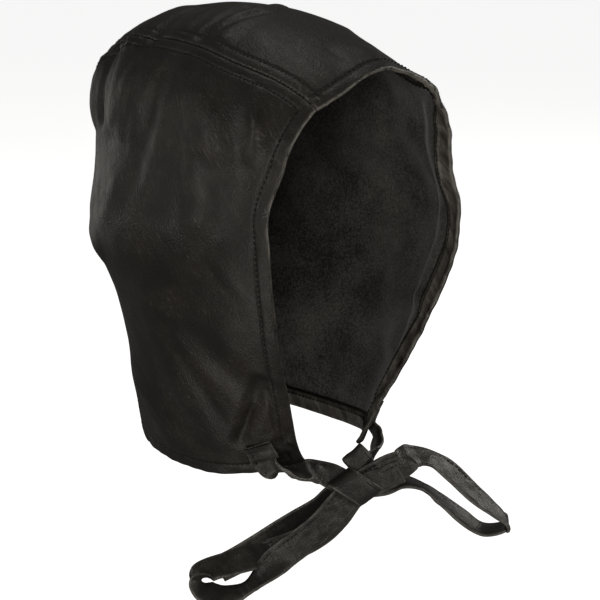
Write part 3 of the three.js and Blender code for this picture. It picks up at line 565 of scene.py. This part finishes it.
def nappa(name, dark, light, scuff_and_highlight, grain_mm=1.0, satin=(0.35, 0.52)):
    material, tree, shader = new_material(name)
    place = add(tree, "ShaderNodeTexCoord").outputs["Object"]
    cloud = add(
        tree, "ShaderNodeTexNoise", {"Vector": place, "Scale": 1 / (30 * MM), "Detail": 4, "Roughness": 0.6}
    )
    pull = add(
        tree, "ShaderNodeMapping",
        {"Vector": place, "Rotation": (PULL_LEAN, 0.0, 0.0), "Scale": (1, 1, PULL_STRETCH)},
        vector_type="TEXTURE",
    )
    pulled = pull.outputs["Vector"]
    crease = add(
        tree, "ShaderNodeTexNoise",
        {"Vector": pulled, "Scale": 1 / (7 * MM), "Detail": 5, "Roughness": 0.6, "Distortion": 0.3},
    )
    scuff = add(
        tree, "ShaderNodeTexNoise", {"Vector": pulled, "Scale": 1 / (0.9 * MM), "Detail": 3, "Roughness": 0.6}
    )
    scratch = add(
        tree, "ShaderNodeMapRange", {"Value": scuff.outputs["Fac"], "From Min": 0.54, "From Max": 0.76},
        interpolation_type="SMOOTHSTEP",
    )
    patch = add(
        tree, "ShaderNodeMapRange", {"Value": cloud.outputs["Fac"], "From Min": 0.42, "From Max": 0.62},
        interpolation_type="SMOOTHSTEP",
    )
    marks = add(
        tree, "ShaderNodeMath", {0: scratch.outputs["Result"], 1: patch.outputs["Result"]},
        operation="MULTIPLY",
    )
    marks = add(tree, "ShaderNodeMath", {0: marks.outputs["Value"], 1: 0.42}, operation="MULTIPLY")
    # The point numbers from the leather pieces: painted highlights and sheen, with real edge wear. They are
    # broken into patches by the crease noise and mixed toward the pale colour along with the scuffs, and they
    # also lower the roughness.
    wear_and_highlight = add(tree, "ShaderNodeAttribute", attribute_name="wear_and_highlight")
    patchy_wear_and_highlight = add(tree, "ShaderNodeMapRange", {"Value": crease.outputs["Fac"], "From Min": 0.3, "From Max": 0.7})
    patchy_wear_and_highlight = add(
        tree, "ShaderNodeMath", {0: wear_and_highlight.outputs["Fac"], 1: patchy_wear_and_highlight.outputs["Result"]}, operation="MULTIPLY"
    )
    both = add(
        tree, "ShaderNodeMath", {0: patchy_wear_and_highlight.outputs["Value"], 1: marks.outputs["Value"]},
        operation="ADD", use_clamp=True,
    )
    base = add(
        tree, "ShaderNodeMix", {0: patch.outputs["Result"], 6: linear(dark), 7: linear(light)},
        data_type="RGBA",
    )
    colour = add(
        tree, "ShaderNodeMix", {0: both.outputs["Value"], 6: base.outputs[2], 7: linear(scuff_and_highlight)},
        data_type="RGBA",
    )
    rough = add(
        tree, "ShaderNodeMapRange",
        {
            "Value": crease.outputs["Fac"], "From Min": 0.3, "From Max": 0.7,
            "To Min": satin[0], "To Max": satin[1],
        },
    )
    polish = add(
        tree, "ShaderNodeMath", {0: wear_and_highlight.outputs["Fac"], 1: -0.16, 2: rough.outputs["Result"]},
        operation="MULTIPLY_ADD",
    )
    pebble = add(
        tree, "ShaderNodeTexVoronoi", {"Vector": place, "Scale": 1 / (grain_mm * MM)}, feature="SMOOTH_F1"
    )
    fine = add(tree, "ShaderNodeTexNoise", {"Vector": place, "Scale": 1 / (0.8 * MM), "Detail": 2})
    grain = add(
        tree, "ShaderNodeMath", {0: pebble.outputs["Distance"], 1: fine.outputs["Fac"]}, operation="ADD"
    )
    bump = None
    for height, strength, deep in (
        (crease.outputs["Fac"], 0.24, 1.2),
        (scuff.outputs["Fac"], 0.7, 0.3),
        (grain.outputs["Value"], 0.75, 0.22),
    ):
        under = {"Normal": bump.outputs["Normal"]} if bump else {}
        bump = add(
            tree, "ShaderNodeBump", {"Height": height, "Strength": strength, "Distance": deep * MM, **under}
        )
    tree.links.new(colour.outputs[2], shader.inputs["Base Color"])
    tree.links.new(polish.outputs["Value"], shader.inputs["Roughness"])
    tree.links.new(bump.outputs["Normal"], shader.inputs["Normal"])
    shader.inputs["IOR"].default_value = 1.45
    return material


# Flesh side: the napped back of the skin, left raw. Matt, mottled and soft, with a faint bloom of nap.
def flesh_side(name, dark, light):
    material, tree, shader = new_material(name)
    place = add(tree, "ShaderNodeTexCoord").outputs["Object"]
    cloud = add(
        tree, "ShaderNodeTexNoise", {"Vector": place, "Scale": 1 / (34 * MM), "Detail": 5, "Roughness": 0.6}
    )
    nap = add(
        tree, "ShaderNodeTexNoise", {"Vector": place, "Scale": 1 / (1.3 * MM), "Detail": 2, "Roughness": 0.6}
    )
    mixed = add(tree, "ShaderNodeMath", {0: cloud.outputs["Fac"], 1: nap.outputs["Fac"]}, operation="ADD")
    tone = add(
        tree, "ShaderNodeMapRange", {"Value": mixed.outputs["Value"], "From Min": 0.8, "From Max": 1.3}
    )
    colour = add(
        tree, "ShaderNodeMix", {0: tone.outputs["Result"], 6: linear(dark), 7: linear(light)},
        data_type="RGBA",
    )
    bump = add(tree, "ShaderNodeBump", {"Height": nap.outputs["Fac"], "Strength": 0.6, "Distance": 0.4 * MM})
    tree.links.new(colour.outputs[2], shader.inputs["Base Color"])
    tree.links.new(bump.outputs["Normal"], shader.inputs["Normal"])
    shader.inputs["Roughness"].default_value = 0.92
    shader.inputs["Sheen Weight"].default_value = 0.25
    shader.inputs["Sheen Roughness"].default_value = 0.5
    return material


# The third colour is the pale of the scuffs and of the painted highlights.
grain_leather = nappa("black_nappa", "#201d19", "#282420", "#716d66")
suede = flesh_side("nappa_flesh_side", "#191817", "#62605c")
for piece, node in ((right_side, "right_side_panel"), (left_side, "left_side_panel")):
    piece.data.materials.append(grain_leather)
    piece.data.materials.append(suede)
    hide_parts(node)
    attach(piece, "root")


# Crown strip
# One long piece of the same nappa from the forehead over the crown and down to the nape.
# It is sewn to both side panels, its seam allowances opened and topstitched on either side.
HEM_TURN = 0.66
STRIP_MIDDLE_LINES = 34
BROW_ROOM = 12.6
NAPE_ROOM = 13


def brow_arch(way, share):
    """Degrees that the brow edge stands above its corners, at a share of the strip's half width."""
    held = np.clip((BROW_TURN + BROW_HELD + BROW_FADE - way) / BROW_FADE, 0, 1)
    return BROW_ARCH * (1 - share**2) * (1 + BROW_LEAN * share) * held**2


def strip_grid():
    """Points of the crown strip in rows across it, closer together along its four edges."""
    half = SEAMS["half"][1]
    edge = np.array(EDGE_RINGS)
    middle = np.linspace(edge[-1], 2 * half - edge[-1], STRIP_MIDDLE_LINES)[1:-1]
    shares = np.concatenate([edge, middle, 2 * half - edge[::-1]])
    clear = (SEAM_WAYS > BROW_TURN + BROW_ROOM * HEM_TURN) & (SEAM_WAYS < NECK_WAY - NAPE_ROOM)
    ways = np.concatenate([BROW_TURN + edge * HEM_TURN, SEAM_WAYS[clear], NECK_WAY - edge[::-1]])
    wide = (seam_half(ways) - SEAM_GAP / 2)[:, None]
    x = wide * (shares / half - 1)
    low = np.maximum((ways - BACK_TURN) / (NECK_WAY - BACK_TURN), 0)[:, None]
    dip = (neck_edge(wide) - neck_edge(x)) * low**2
    return strip_point(ways[:, None] + dip + brow_arch(ways[:, None], x / wide), x)


strip = strip_grid()
strip_hem = np.minimum(distance_to(strip, strip[0]), distance_to(strip, strip[-1]))
strip_seam = np.minimum(distance_to(strip, strip[:, 0]), distance_to(strip, strip[:, -1]))
crown = leather_piece("crown_strip_leather", strip, strip_hem, strip_seam)
crown.data.materials.append(grain_leather)
crown.data.materials.append(suede)
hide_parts("crown_strip")
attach(crown, "root")


# Stitching
# Black polyester thread, lockstitched at about 3 mm: one row round the face and neck hems, a row on each
# side of both seams and one in the joint. Each stitch dips into the leather at its ends. The thread is
# drawn a little thicker than its real 0.5 mm, to show in the picture.
PITCH = 2.8
STITCH_LONG = 2.0
THREAD = 0.75
STITCH_RISE = 0.35
JOINT_PITCH = 2.6
JOINT_LONG = 1.9
JOINT_THREAD = 0.95
JOINT_RISE = 0.55
PROFILE = table("along across", (-0.5, 0.2), (-0.4, 0.75), (-0.15, 1), (0.15, 1), (0.4, 0.75), (0.5, 0.2))
THREAD_SIDES = 6
ROW_END = 3
ROW_SHARE = 0.98
ROW_POINTS = 120


def stitches(line, up, pitch=PITCH, long=STITCH_LONG, thread=THREAD):
    """Points and faces of a row of stitches along a line, up being square to the leather."""
    run = run_of(line)
    at = np.arange(pitch / 2, run[-1], pitch)
    centre = along_line(line, run, at)
    out = unit(along_line(up, run, at))
    along = unit(along_line(line, run, at + 0.5) - along_line(line, run, at - 0.5))
    beside = unit(np.cross(out, along))
    turn = np.arange(THREAD_SIDES) * 2 * np.pi / THREAD_SIDES
    u = np.repeat(PROFILE["along"], THREAD_SIDES) * long
    v = np.outer(PROFILE["across"], np.cos(turn)).ravel() * thread / 2
    dip = np.repeat(PROFILE["across"] - 1, THREAD_SIDES) * thread * 0.5
    w = np.outer(PROFILE["across"], np.sin(turn)).ravel() * thread / 2 + dip
    points = centre[:, None] + along[:, None] * u[:, None] + beside[:, None] * v[:, None]
    points += out[:, None] * w[:, None]
    rings = len(PROFILE["along"])
    size = rings * THREAD_SIDES
    index = closed(np.arange(size).reshape(rings, THREAD_SIDES))
    first, last = index[0], index[-1]
    caps = [first[[0, 3, 2, 1]], first[[0, 5, 4, 3]], last[[0, 1, 2, 3]], last[[0, 3, 4, 5]]]
    faces = np.concatenate([quads(index), np.array(caps)])
    faces = (faces[None] + np.arange(len(at))[:, None, None] * size).reshape(-1, 4)
    return points.reshape(-1, 3), faces


def stitch_piece(name, rows, material):
    """All the rows of stitches as one mesh."""
    points, faces, count = [], [], 0
    for row_points, row_faces in rows:
        points.append(row_points)
        faces.append(row_faces + count)
        count += len(row_points)
    piece = make_mesh(name, np.concatenate(points), np.concatenate(faces))
    piece.data.materials.append(material)
    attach(piece, "root")
    return piece


# Thread: spun and bonded polyester. Two twisted plies with a low sheen, to draw the seams as dark rows.
def thread_material(name, colour, light):
    material, tree, shader = new_material(name)
    place = add(tree, "ShaderNodeTexCoord").outputs["Object"]
    ply = add(
        tree, "ShaderNodeTexWave", {"Vector": place, "Scale": 1 / (1.2 * MM), "Distortion": 2},
        bands_direction="DIAGONAL",
    )
    twist = ply.outputs["Fac"]
    mix = add(tree, "ShaderNodeMix", {0: twist, 6: linear(colour), 7: linear(light)}, data_type="RGBA")
    bump = add(tree, "ShaderNodeBump", {"Height": twist, "Strength": 0.5, "Distance": 0.1 * MM})
    tree.links.new(mix.outputs[2], shader.inputs["Base Color"])
    tree.links.new(bump.outputs["Normal"], shader.inputs["Normal"])
    shader.inputs["Roughness"].default_value = 0.62
    return material


def both_faces(p, hem, seam):
    """Rows of stitches over the grain face and under the inner face, along points of the head side."""
    grain, inner = leather_faces(p, hem, seam)
    up = square_to(p)
    return [stitches(grain + up * STITCH_RISE, up), stitches(inner - up * STITCH_RISE, -up)]


black_thread = thread_material("black_thread", "#060606", "#1b1a18")
hem_rows, seam_rows, joint_rows = [], [], []
for side in (-1, 1):
    edges = panel_edges(side)
    hem_line = np.concatenate([edges[1], edges[2][1:]])
    _, neck, face = inset(edges, side, HEM_STITCH)
    for line in (neck, face):
        hem_rows += both_faces(line, distance_to(line, hem_line), distance_to(line, edges[0]))
    for reach in (LAP_STITCH, -LAP_STITCH):
        inward = reach * side * unit(np.cross(unit(np.gradient(edges[0], axis=0)), square_to(edges[0])))
        lap = settle(edges[0] + inward)
        if reach > 0:
            hem = distance_to(lap, hem_line)
        else:
            hem = np.minimum(distance_to(lap, strip[0]), distance_to(lap, strip[-1]))
        kept = (hem > ROW_END) & (lap[:, 2] > neck_edge(lap[:, 0]))
        lap, hem = lap[kept], hem[kept]
        seam_rows += both_faces(lap, hem, np.full(len(lap), LAP_STITCH))
    joint = strip_point(SEAM_WAYS, side * seam_half(SEAM_WAYS))
    joint_hem = distance_to(joint, hem_line)
    joint, joint_hem = joint[joint_hem > ROW_END], joint_hem[joint_hem > ROW_END]
    grain, _ = leather_faces(joint, joint_hem, np.zeros(len(joint)))
    up = square_to(joint)
    joint_rows.append(stitches(grain + up * JOINT_RISE, up, JOINT_PITCH, JOINT_LONG, JOINT_THREAD))
share = np.linspace(-ROW_SHARE, ROW_SHARE, ROW_POINTS)
brow_way = BROW_TURN + HEM_STITCH * HEM_TURN
brow_half = seam_half(np.float64(brow_way))
nape_half = SEAMS["half"][-1]
nape_way = NECK_WAY - HEM_STITCH + neck_edge(nape_half) - neck_edge(share * nape_half)
for row in (
    strip_point(brow_way + brow_arch(brow_way, share), share * brow_half),
    strip_point(nape_way, share * nape_half),
):
    hem_rows += both_faces(
        row,
        np.minimum(distance_to(row, strip[0]), distance_to(row, strip[-1])),
        np.minimum(distance_to(row, strip[:, 0]), distance_to(row, strip[:, -1])),
    )
stitch_piece("hem_stitches", hem_rows, black_thread)
stitch_piece("seam_topstitches", seam_rows, black_thread)
stitch_piece("seam_thread", joint_rows, black_thread)


# Ties
# Two straps of the same skin, folded double lengthways and stitched along the open edge, with one
# end of each turned under and sewn to a front corner. They are tied in a bow under the chin.
STRAP_WIDE = 16
STRAP_THICK = 1.8
STRAP_STITCH = 2.6
STRAP_LINES = 13
STRAP_GROOVE = 0.28
STRAP_GROOVE_WIDE = 0.7
STRAP_THREAD = 0.6
STRAP_THREAD_SINK = 0.2
STRAP_WEAR_AND_HIGHLIGHT = 0.8
STRAP_WEAR_AND_HIGHLIGHT_WIDE = 0.7
CRUMPLE_FADE = 16
FOLD_SWELL = 0.25
FOLD_SWELL_IN = 4
FOLD_SWELL_WIDE = 3
SLIT = 0.45
SLIT_LIP = 0.3
TURNED_END = 4.4
TURNED_GROOVE = 0.3
TURNED_GROOVE_WIDE = 0.8
TURNED_ROW = 0.42
TURNED_ROW_POINTS = 9
SEWN = np.array(((50, -69, -226), (47, -69.5, -232), (44, -70, -238)), float)
SEWN_EDGE = np.array((0.48, -0.8, 0.43))
SEWN_CLEAR = 0.45
BOW_AT = np.array((2, -91, -260), float)
BOW_TURN = math.radians(26)
BOW_TILT = math.radians(12)
BOW_ACROSS = np.array((math.cos(BOW_TURN), -math.sin(BOW_TURN), 0))
BOW_OUT = np.array((
    -math.sin(BOW_TURN) * math.cos(BOW_TILT), -math.cos(BOW_TURN) * math.cos(BOW_TILT), math.sin(BOW_TILT)
))
BOW_UP = np.cross(BOW_OUT, BOW_ACROSS)
TIE_COLUMNS = "across up out lean tip wide"
NEAR_TIE = table(
    TIE_COLUMNS,
    (-45.5, 16.6, 10, -150, -72, 14),
    (-37, 13.5, 8.5, 66, -76, 16),
    (-28, 12.6, 4.5, 62, -58, 16),
    (-20, 11, -0.8, 58, -46, 16),
    (-12, 7.5, -1.2, 40, -18, 15),
    (0, 1, -1.3, 80, 0, 14.5),
    (11, 4.2, -0.8, 110, -6, 15.5),
    (20.5, 8.3, 0.6, 99, 0, 16),
    (28.8, 10.4, 1.6, 88, 0, 17),
    (34, 13.6, 0, 89, -42, 16),
    (39.8, 13.2, -4, 86, -53, 16),
    (48.6, 10.6, -5, 76, -57, 16),
    (59.5, 2.7, -4, 44, -42, 16),
    (73, -12, -2, 40, -44, 16),
    (83, -21.5, 0, 34, -55, 16),
    (90.5, -29, 1, 20, -66, 16),
    (91.5, -32, -0.5, 20, -68, 16),
    (87, -34.2, -2.5, 30, -68, 16),
    (78, -33.8, -5, 37, -62, 16),
    (67.5, -26, -6.5, 48, -55, 16),
    (54, -14, -6.5, 42, -64, 16),
    (42, -4.5, -6, 40, -74, 16),
    (28.7, 0.4, -5.4, 90, -60, 16),
    (18, 0.4, -4.2, 108, -16, 16),
    (2, -0.6, -3.7, 116, 0, 14.5),
    (-9, -4, -4.2, 121, 8, 16),
    (-18, -10, -6, 123, 20, 16),
    (-30.5, -16, -7.6, 125, 20, 16),
    (-43, -22.5, -8.6, 131, 11, 16),
    (-54, -29, -11, 131, 4, 16),
    (-66, -35.5, -14, 129, 0, 16),
    (-76, -40, -17, 128, 0, 16),
)
FAR_TIE = table(
    TIE_COLUMNS,
    (26, 24.5, -30, 100, 76, 16),
    (24.5, 20.5, -26.5, 100, 80, 16),
    (22.5, 17.5, -21.5, 110, 80, 16),
    (19.5, 15.2, -16, 130, 76, 14),
    (15, 12.5, -11, 160, 50, 14),
    (10.5, 8, -8, 190, 12, 16),
    (6, 2, -6.6, 208, 0, 15),
)
UPPER_TURN = table(
    TIE_COLUMNS,
    (9.5, 9, -7, 34, 0, 14),
    (5.5, 14.5, -7, 34, 0, 14),
    (2.6, 18, -6.4, 34, 0, 14),
    (2, 19, -5, 34, 0, 14),
    (2.8, 18.2, -3.8, 34, 0, 14),
    (5.5, 15, -3.2, 34, 0, 14),
    (8, 12, -3.2, 34, 0, 14),
)
LOWER_LOOP = table(
    TIE_COLUMNS,
    (27, 7, 4.6, 114, -10, 13),
    (18, 4, 4.2, 114, -10, 13),
    (8, 1.4, 3.6, 118, -6, 14),
    (-3, -2, 3.4, 126, 0, 15),
    (-11.5, -9, 4, 133, 0, 16),
    (-21, -17.3, 5, 135, 0, 16),
    (-33, -25.2, 5, 135, -4, 16),
    (-44.3, -31.8, 4.5, 131, -12, 16),
    (-52.5, -37.5, 4, 126, -46, 16),
    (-59, -42.8, 3.5, 118, -74, 16),
    (-65, -46.8, 3.5, 112, -84, 16),
    (-73, -49.4, 3.2, 102, -68, 16),
    (-81.5, -49.6, 3, 88, -50, 16),
    (-88.4, -46.2, 1.4, 70, -44, 16),
    (-90.6, -41.6, -1.4, 62, -46, 16),
    (-88.6, -38.2, -4, 64, -52, 16),
    (-82.6, -36.4, -6, 80, -52, 16),
    (-73, -35, -6.5, 84, -48, 16),
    (-57.5, -32.6, -6, 92, -38, 16),
    (-43.5, -30.4, -4, 106, -24, 16),
    (-30, -26.5, -1.6, 120, -14, 16),
    (-19, -21, -0.2, 126, -8, 16),
    (-10, -13.6, 0.6, 132, -4, 16),
    (-2, -5.5, 1, 130, 0, 15),
    (4, -1, 2.4, 126, 0, 14),
)
WRAP = table(
    "along out",
    (-6.5, 6.4), (0, 6.8), (6.5, 6.4), (9.9, 4.4), (10.7, 0), (9.9, -4.2),
    (6.5, -6.3), (0, -6.5), (-6.5, -6.3), (-9.9, -4.2), (-10.7, 0), (-9.9, 4.4),
)
WRAP_AT = (0.5, 0.5)
WRAP_ALONG = (0.8, -0.6)
WRAP_FOLD = (0.885, 0.466)
WRAP_WIDE = 17
STRAP_STEPS = 8


def bow_way(across, up, out):
    """Vectors of the bow's frame in the part's frame."""
    across, up, out = (np.asarray(v, float)[..., None] for v in (across, up, out))
    return across * BOW_ACROSS + up * BOW_UP + out * BOW_OUT


def bow_stations(rows):
    """Places, edge directions and widths of a tie's table."""
    lean, tip = np.radians(rows["lean"]), np.radians(rows["tip"])
    edge = bow_way(np.cos(tip) * np.cos(lean), np.cos(tip) * np.sin(lean), np.sin(tip))
    return BOW_AT + bow_way(rows["across"], rows["up"], rows["out"]), edge, rows["wide"]


def sewn_stations(side):
    """Stations of a sewn end, laid on the outside of a side panel."""
    edge = SEWN_EDGE * (-side, 1, 1) * (1 if side > 0 else -1)
    p = settle(SEWN * (side, 1, 1))
    off = lift_at(p, FOLDS) + GRAIN_HEIGHT + SEWN_CLEAR + STRAP_THICK / 2
    return p + square_to(p) * off[:, None], np.tile(edge, (len(p), 1)), np.full(len(p), float(STRAP_WIDE))


def join(*parts):
    """Stations of two runs of strap as one."""
    return tuple(np.concatenate(column) for column in zip(*parts))


def through(points, at, looped=False, even=False):
    """Catmull-Rom curve through points, read at fractional point numbers."""
    count = len(points)
    last = count if looped else count - 1
    i = np.minimum(np.floor(at).astype(int), last - 1)
    t = (at - i)[:, None]
    if looped:
        p0, p1, p2, p3 = (points[(i + k) % count] for k in (-1, 0, 1, 2))
    else:
        long = np.concatenate([[2 * points[0] - points[1]], points, [2 * points[-1] - points[-2]]])
        p0, p1, p2, p3 = (long[i + k] for k in range(4))
    if even:
        m1, m2 = (p2 - p0) / 2, (p3 - p1) / 2
    else:
        spans = (p1 - p0, p2 - p1, p3 - p2)
        d0, d1, d2 = (np.sqrt(np.linalg.norm(span, axis=1, keepdims=True)) for span in spans)
        m1 = d1 * ((p1 - p0) / d0 - (p2 - p0) / (d0 + d1) + (p2 - p1) / d1)
        m2 = d1 * ((p2 - p1) / d1 - (p3 - p1) / (d1 + d2) + (p3 - p2) / d2)
    return p1 + m1 * t + (3 * (p2 - p1) - 2 * m1 - m2) * t**2 + (2 * (p1 - p2) + m1 + m2) * t**3


def strap_frame(stations, looped=False, skewed=False):
    """Centre, edge direction, face direction and width at each step along a strap."""
    places, edges, wide = stations
    spans = len(places) - (0 if looped else 1)
    at = np.linspace(0, spans, spans * STRAP_STEPS + 1)
    at = at[:-1] if looped else at
    centre = through(places, at, looped)
    tiny = 1e-3
    if looped:
        low, high = (at - tiny) % spans, (at + tiny) % spans
    else:
        low, high = np.maximum(at - tiny, 0), np.minimum(at + tiny, spans)
    along = unit(through(places, high, looped) - through(places, low, looped))
    edge = unit(through(edges, at, looped, even=True))
    face = unit(np.cross(along, edge))
    if not skewed:
        edge = unit(np.cross(face, along))
    around = np.append(wide, wide[0]) if looped else wide
    return centre, edge, face, np.interp(at, np.arange(len(around)), around)


def end_faces(ring):
    """Faces that close an end of a strap, between its upper line of points and its under one."""
    upper = ring[: STRAP_LINES - 1]
    under = np.append(ring[0], ring[STRAP_LINES + 1 :][::-1])
    pairs = np.stack([upper[:-1], upper[1:], under[1:-1], under[:-2]], -1)
    lip, slit, under_lip = ring[STRAP_LINES - 1 : STRAP_LINES + 2]
    corner = [[upper[-1], lip, slit, under[-2]], [under[-2], slit, under_lip, under[-2]]]
    return np.concatenate([pairs, corner])


def strap(name, stations, crinkle=0.2, looped=False, skewed=False, turned=False, crumpled=(0, 0), seed=0):
    """A doubled strap: folded at one edge, two raw layers and a row of stitches along the other.

    Turned, it has a groove and a cross row at its sewn end. Crumpled, it is uneven between two distances.
    """
    centre, edge, face, wide = strap_frame(stations, looped, skewed)
    u = -np.cos(np.linspace(0, np.pi, STRAP_LINES)) * wide[:, None] / 2
    run = run_of(centre)
    from_fold, from_open = wide[:, None] / 2 + u, wide[:, None] / 2 - u
    from_edge = np.minimum(from_fold, from_open)
    plump = np.sqrt(1 - np.clip(1 - from_edge / (STRAP_THICK / 2), 0, 1) ** 2)
    groove = STRAP_GROOVE * bell(from_open, STRAP_STITCH, STRAP_GROOVE_WIDE)
    swell = FOLD_SWELL * bell(from_fold, FOLD_SWELL_IN, FOLD_SWELL_WIDE)
    half = STRAP_THICK / 2 * plump + (swell - groove) * plump
    if turned:
        half = half - TURNED_GROOVE * bell(run[:, None], TURNED_END, TURNED_GROOVE_WIDE) * plump
    flat = centre[:, None] + edge[:, None] * u[..., None]
    uneven = ripple(flat, seed + 11, waves=12, length=13, height=crinkle)
    uneven += ripple(flat, seed + 12, waves=12, length=6, height=crinkle * 0.6)
    worked = step_down(run, crumpled[1], CRUMPLE_FADE) * (1 - step_down(run, crumpled[0], CRUMPLE_FADE))
    uneven += worked[:, None] * ripple(flat, seed + 13, waves=14, length=7, height=0.7)
    bend = (uneven * np.clip(from_edge / 2, 0, 1))[..., None] * face[:, None]
    top = flat + bend + face[:, None] * half[..., None]
    under = flat + bend * 0.7 - face[:, None] * half[..., None]
    slit = flat[:, -1:] - edge[:, None] * SLIT
    points = np.concatenate([top, slit, under[:, ::-1][:, :-1]], 1)
    points[:, STRAP_LINES - 1] += face * SLIT_LIP
    points[:, STRAP_LINES + 1] -= face * SLIT_LIP
    index = np.arange(points.shape[0] * points.shape[1]).reshape(points.shape[:2])
    if looped:
        faces = [quads(closed(np.concatenate([index, index[:1]])))]
    else:
        faces = [quads(closed(index)), end_faces(index[0]), end_faces(index[-1])[:, ::-1]]
    piece = make_mesh(name, points.reshape(-1, 3), np.concatenate(faces))
    # Paler along the strap's edges: edge wear with a painted highlight on the rounded edges
    edge_wear_and_highlight = STRAP_WEAR_AND_HIGHLIGHT * bell(from_edge, 0, STRAP_WEAR_AND_HIGHLIGHT_WIDE)
    store(piece, "wear_and_highlight", np.concatenate([edge_wear_and_highlight, edge_wear_and_highlight[:, -1:], edge_wear_and_highlight[:, ::-1][:, :-1]], 1))
    piece.data.materials.append(lit_tie_leather)
    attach(piece, "root")
    row = centre + edge * (wide / 2 - STRAP_STITCH)[:, None]
    rise = STRAP_THICK / 2 - STRAP_THREAD_SINK
    tie_rows.append(stitches(row + face * rise, face, thread=STRAP_THREAD))
    tie_rows.append(stitches(row - face * rise, -face, thread=STRAP_THREAD))
    if turned:
        at = np.searchsorted(run, TURNED_END)
        share = np.linspace(-TURNED_ROW, TURNED_ROW, TURNED_ROW_POINTS)[:, None]
        across = centre[at] + edge[at] * share * wide[at] + face[at] * rise
        tie_rows.append(stitches(across, np.tile(face[at], (TURNED_ROW_POINTS, 1)), thread=STRAP_THREAD))
    return piece


tie_rows = []
# A lighter copy of the same nappa for the ties: its colours are raised to paint in the light and highlights
# that the ties catch.
lit_tie_leather = nappa("black_nappa_strap_painted_lit", "#302e2b", "#403e3a", "#85827c", grain_mm=0.9, satin=(0.26, 0.44))
right_tie = strap(
    "right_tie_strap", join(sewn_stations(-1), bow_stations(NEAR_TIE)),
    crinkle=0.35, turned=True, crumpled=(2, 60), seed=1,
)
strap("left_tie_strap", join(sewn_stations(1), bow_stations(FAR_TIE)), turned=True, seed=2)
strap("left_tie_upper_turn", bow_stations(UPPER_TURN), seed=3)
lower_loop = strap("left_tie_lower_loop", bow_stations(LOWER_LOOP), crinkle=0.4, crumpled=(34, 108), seed=4)
wrap_places = BOW_AT + bow_way(
    WRAP_AT[0] + WRAP_ALONG[0] * WRAP["along"], WRAP_AT[1] + WRAP_ALONG[1] * WRAP["along"], WRAP["out"]
)
wrap_edges = np.tile(bow_way(*WRAP_FOLD, 0), (len(wrap_places), 1))
strap(
    "left_tie_wrap", (wrap_places, wrap_edges, np.full(len(wrap_places), float(WRAP_WIDE))),
    crinkle=0.12, looped=True, skewed=True, seed=5,
)
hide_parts("right_tie")
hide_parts("left_tie")
stitch_piece("tie_stitches", tie_rows, black_thread)


# Studio
# A pale floor well below the ties, large soft lights and the camera of the photograph. The floor glows
# a little so that it stays white to the edge, and throws none of that light back at the leather.
FLOOR_Z = -420
FLOOR_HALF = 9000
corners = [(x * FLOOR_HALF, y * FLOOR_HALF, FLOOR_Z) for x, y in ((-1, -1), (1, -1), (1, 1), (-1, 1))]
floor = make_mesh("floor", corners, [(0, 1, 2, 3)])
paint, _, paint_shader = new_material("pale_floor_paint")
paint_shader.inputs["Base Color"].default_value = linear("#f4f4f2")
paint_shader.inputs["Roughness"].default_value = 0.9
paint_shader.inputs["Emission Color"].default_value = linear("#ffffff")
paint_shader.inputs["Emission Strength"].default_value = 0.85
floor.data.materials.append(paint)
floor.visible_diffuse = False
floor.visible_glossy = False
floor.visible_shadow = False

# The air: dim to the leather, white to the eye beyond the floor's edge
world = bpy.data.worlds.new("studio")
world.use_nodes = True
air = world.node_tree
air.nodes.clear()
dim = add(air, "ShaderNodeBackground", {"Color": linear("#ffffff"), "Strength": 0.08})
white = add(air, "ShaderNodeBackground", {"Color": linear("#ffffff"), "Strength": 1.0})
seen = add(air, "ShaderNodeLightPath").outputs["Is Camera Ray"]
mixed_air = add(
    air, "ShaderNodeMixShader", {0: seen, 1: dim.outputs["Background"], 2: white.outputs["Background"]}
)
add(air, "ShaderNodeOutputWorld", {"Surface": mixed_air.outputs["Shader"]})
bpy.context.scene.world = world
bpy.context.scene.view_settings.view_transform = "Standard"

LIGHTS = table(
    "x y z size watts",
    (-1400, -1300, 300, 450, 6.5),  # key, before the wearer's right cheek
    (-1750, 560, 600, 380, 5.4),  # side, behind and above the wearer's right ear
    (-100, 1900, -100, 700, 1.8),  # back
    (500, 450, 1800, 600, 3.8),  # top
    (700, -1800, 150, 500, 6),  # fill, on the open side
    (1900, -300, 600, 900, 8),  # the wearer's left
    (-1300, -700, -1100, 1200, 7),  # the light that a table throws back
)
LIGHT_AIM = Vector((0, -30, -140)) * MM
for x, y, z, size, watts in zip(*LIGHTS.values()):
    lamp = bpy.data.lights.new("softbox", "AREA")
    lamp.size = size * MM
    lamp.energy = watts
    lamp.color = linear("#fffaf3")[:3]
    softbox = bpy.data.objects.new("softbox", lamp)
    softbox.location = Vector((x, y, z)) * MM
    softbox.rotation_euler = (LIGHT_AIM - softbox.location).to_track_quat("-Z", "Y").to_euler()
    bpy.context.scene.collection.objects.link(softbox)

CAMERA_TARGET = Vector((0.3, -49.6, -159.6)) * MM
CAMERA_AZIMUTH = math.radians(-43.6)
CAMERA_ELEVATION = math.radians(14.9)
CAMERA_DISTANCE = 850 * MM
CAMERA_LENS = 91.4
CAMERA_SENSOR = 36
back = Vector((
    math.sin(CAMERA_AZIMUTH) * math.cos(CAMERA_ELEVATION),
    -math.cos(CAMERA_AZIMUTH) * math.cos(CAMERA_ELEVATION),
    math.sin(CAMERA_ELEVATION),
))
camera_data = bpy.data.cameras.new("camera")
camera_data.lens = CAMERA_LENS
camera_data.sensor_width = CAMERA_SENSOR
camera = bpy.data.objects.new("camera", camera_data)
camera.location = CAMERA_TARGET + back * CAMERA_DISTANCE
camera.rotation_euler = back.to_track_quat("Z", "Y").to_euler()
bpy.context.scene.collection.objects.link(camera)
bpy.context.scene.camera = camera
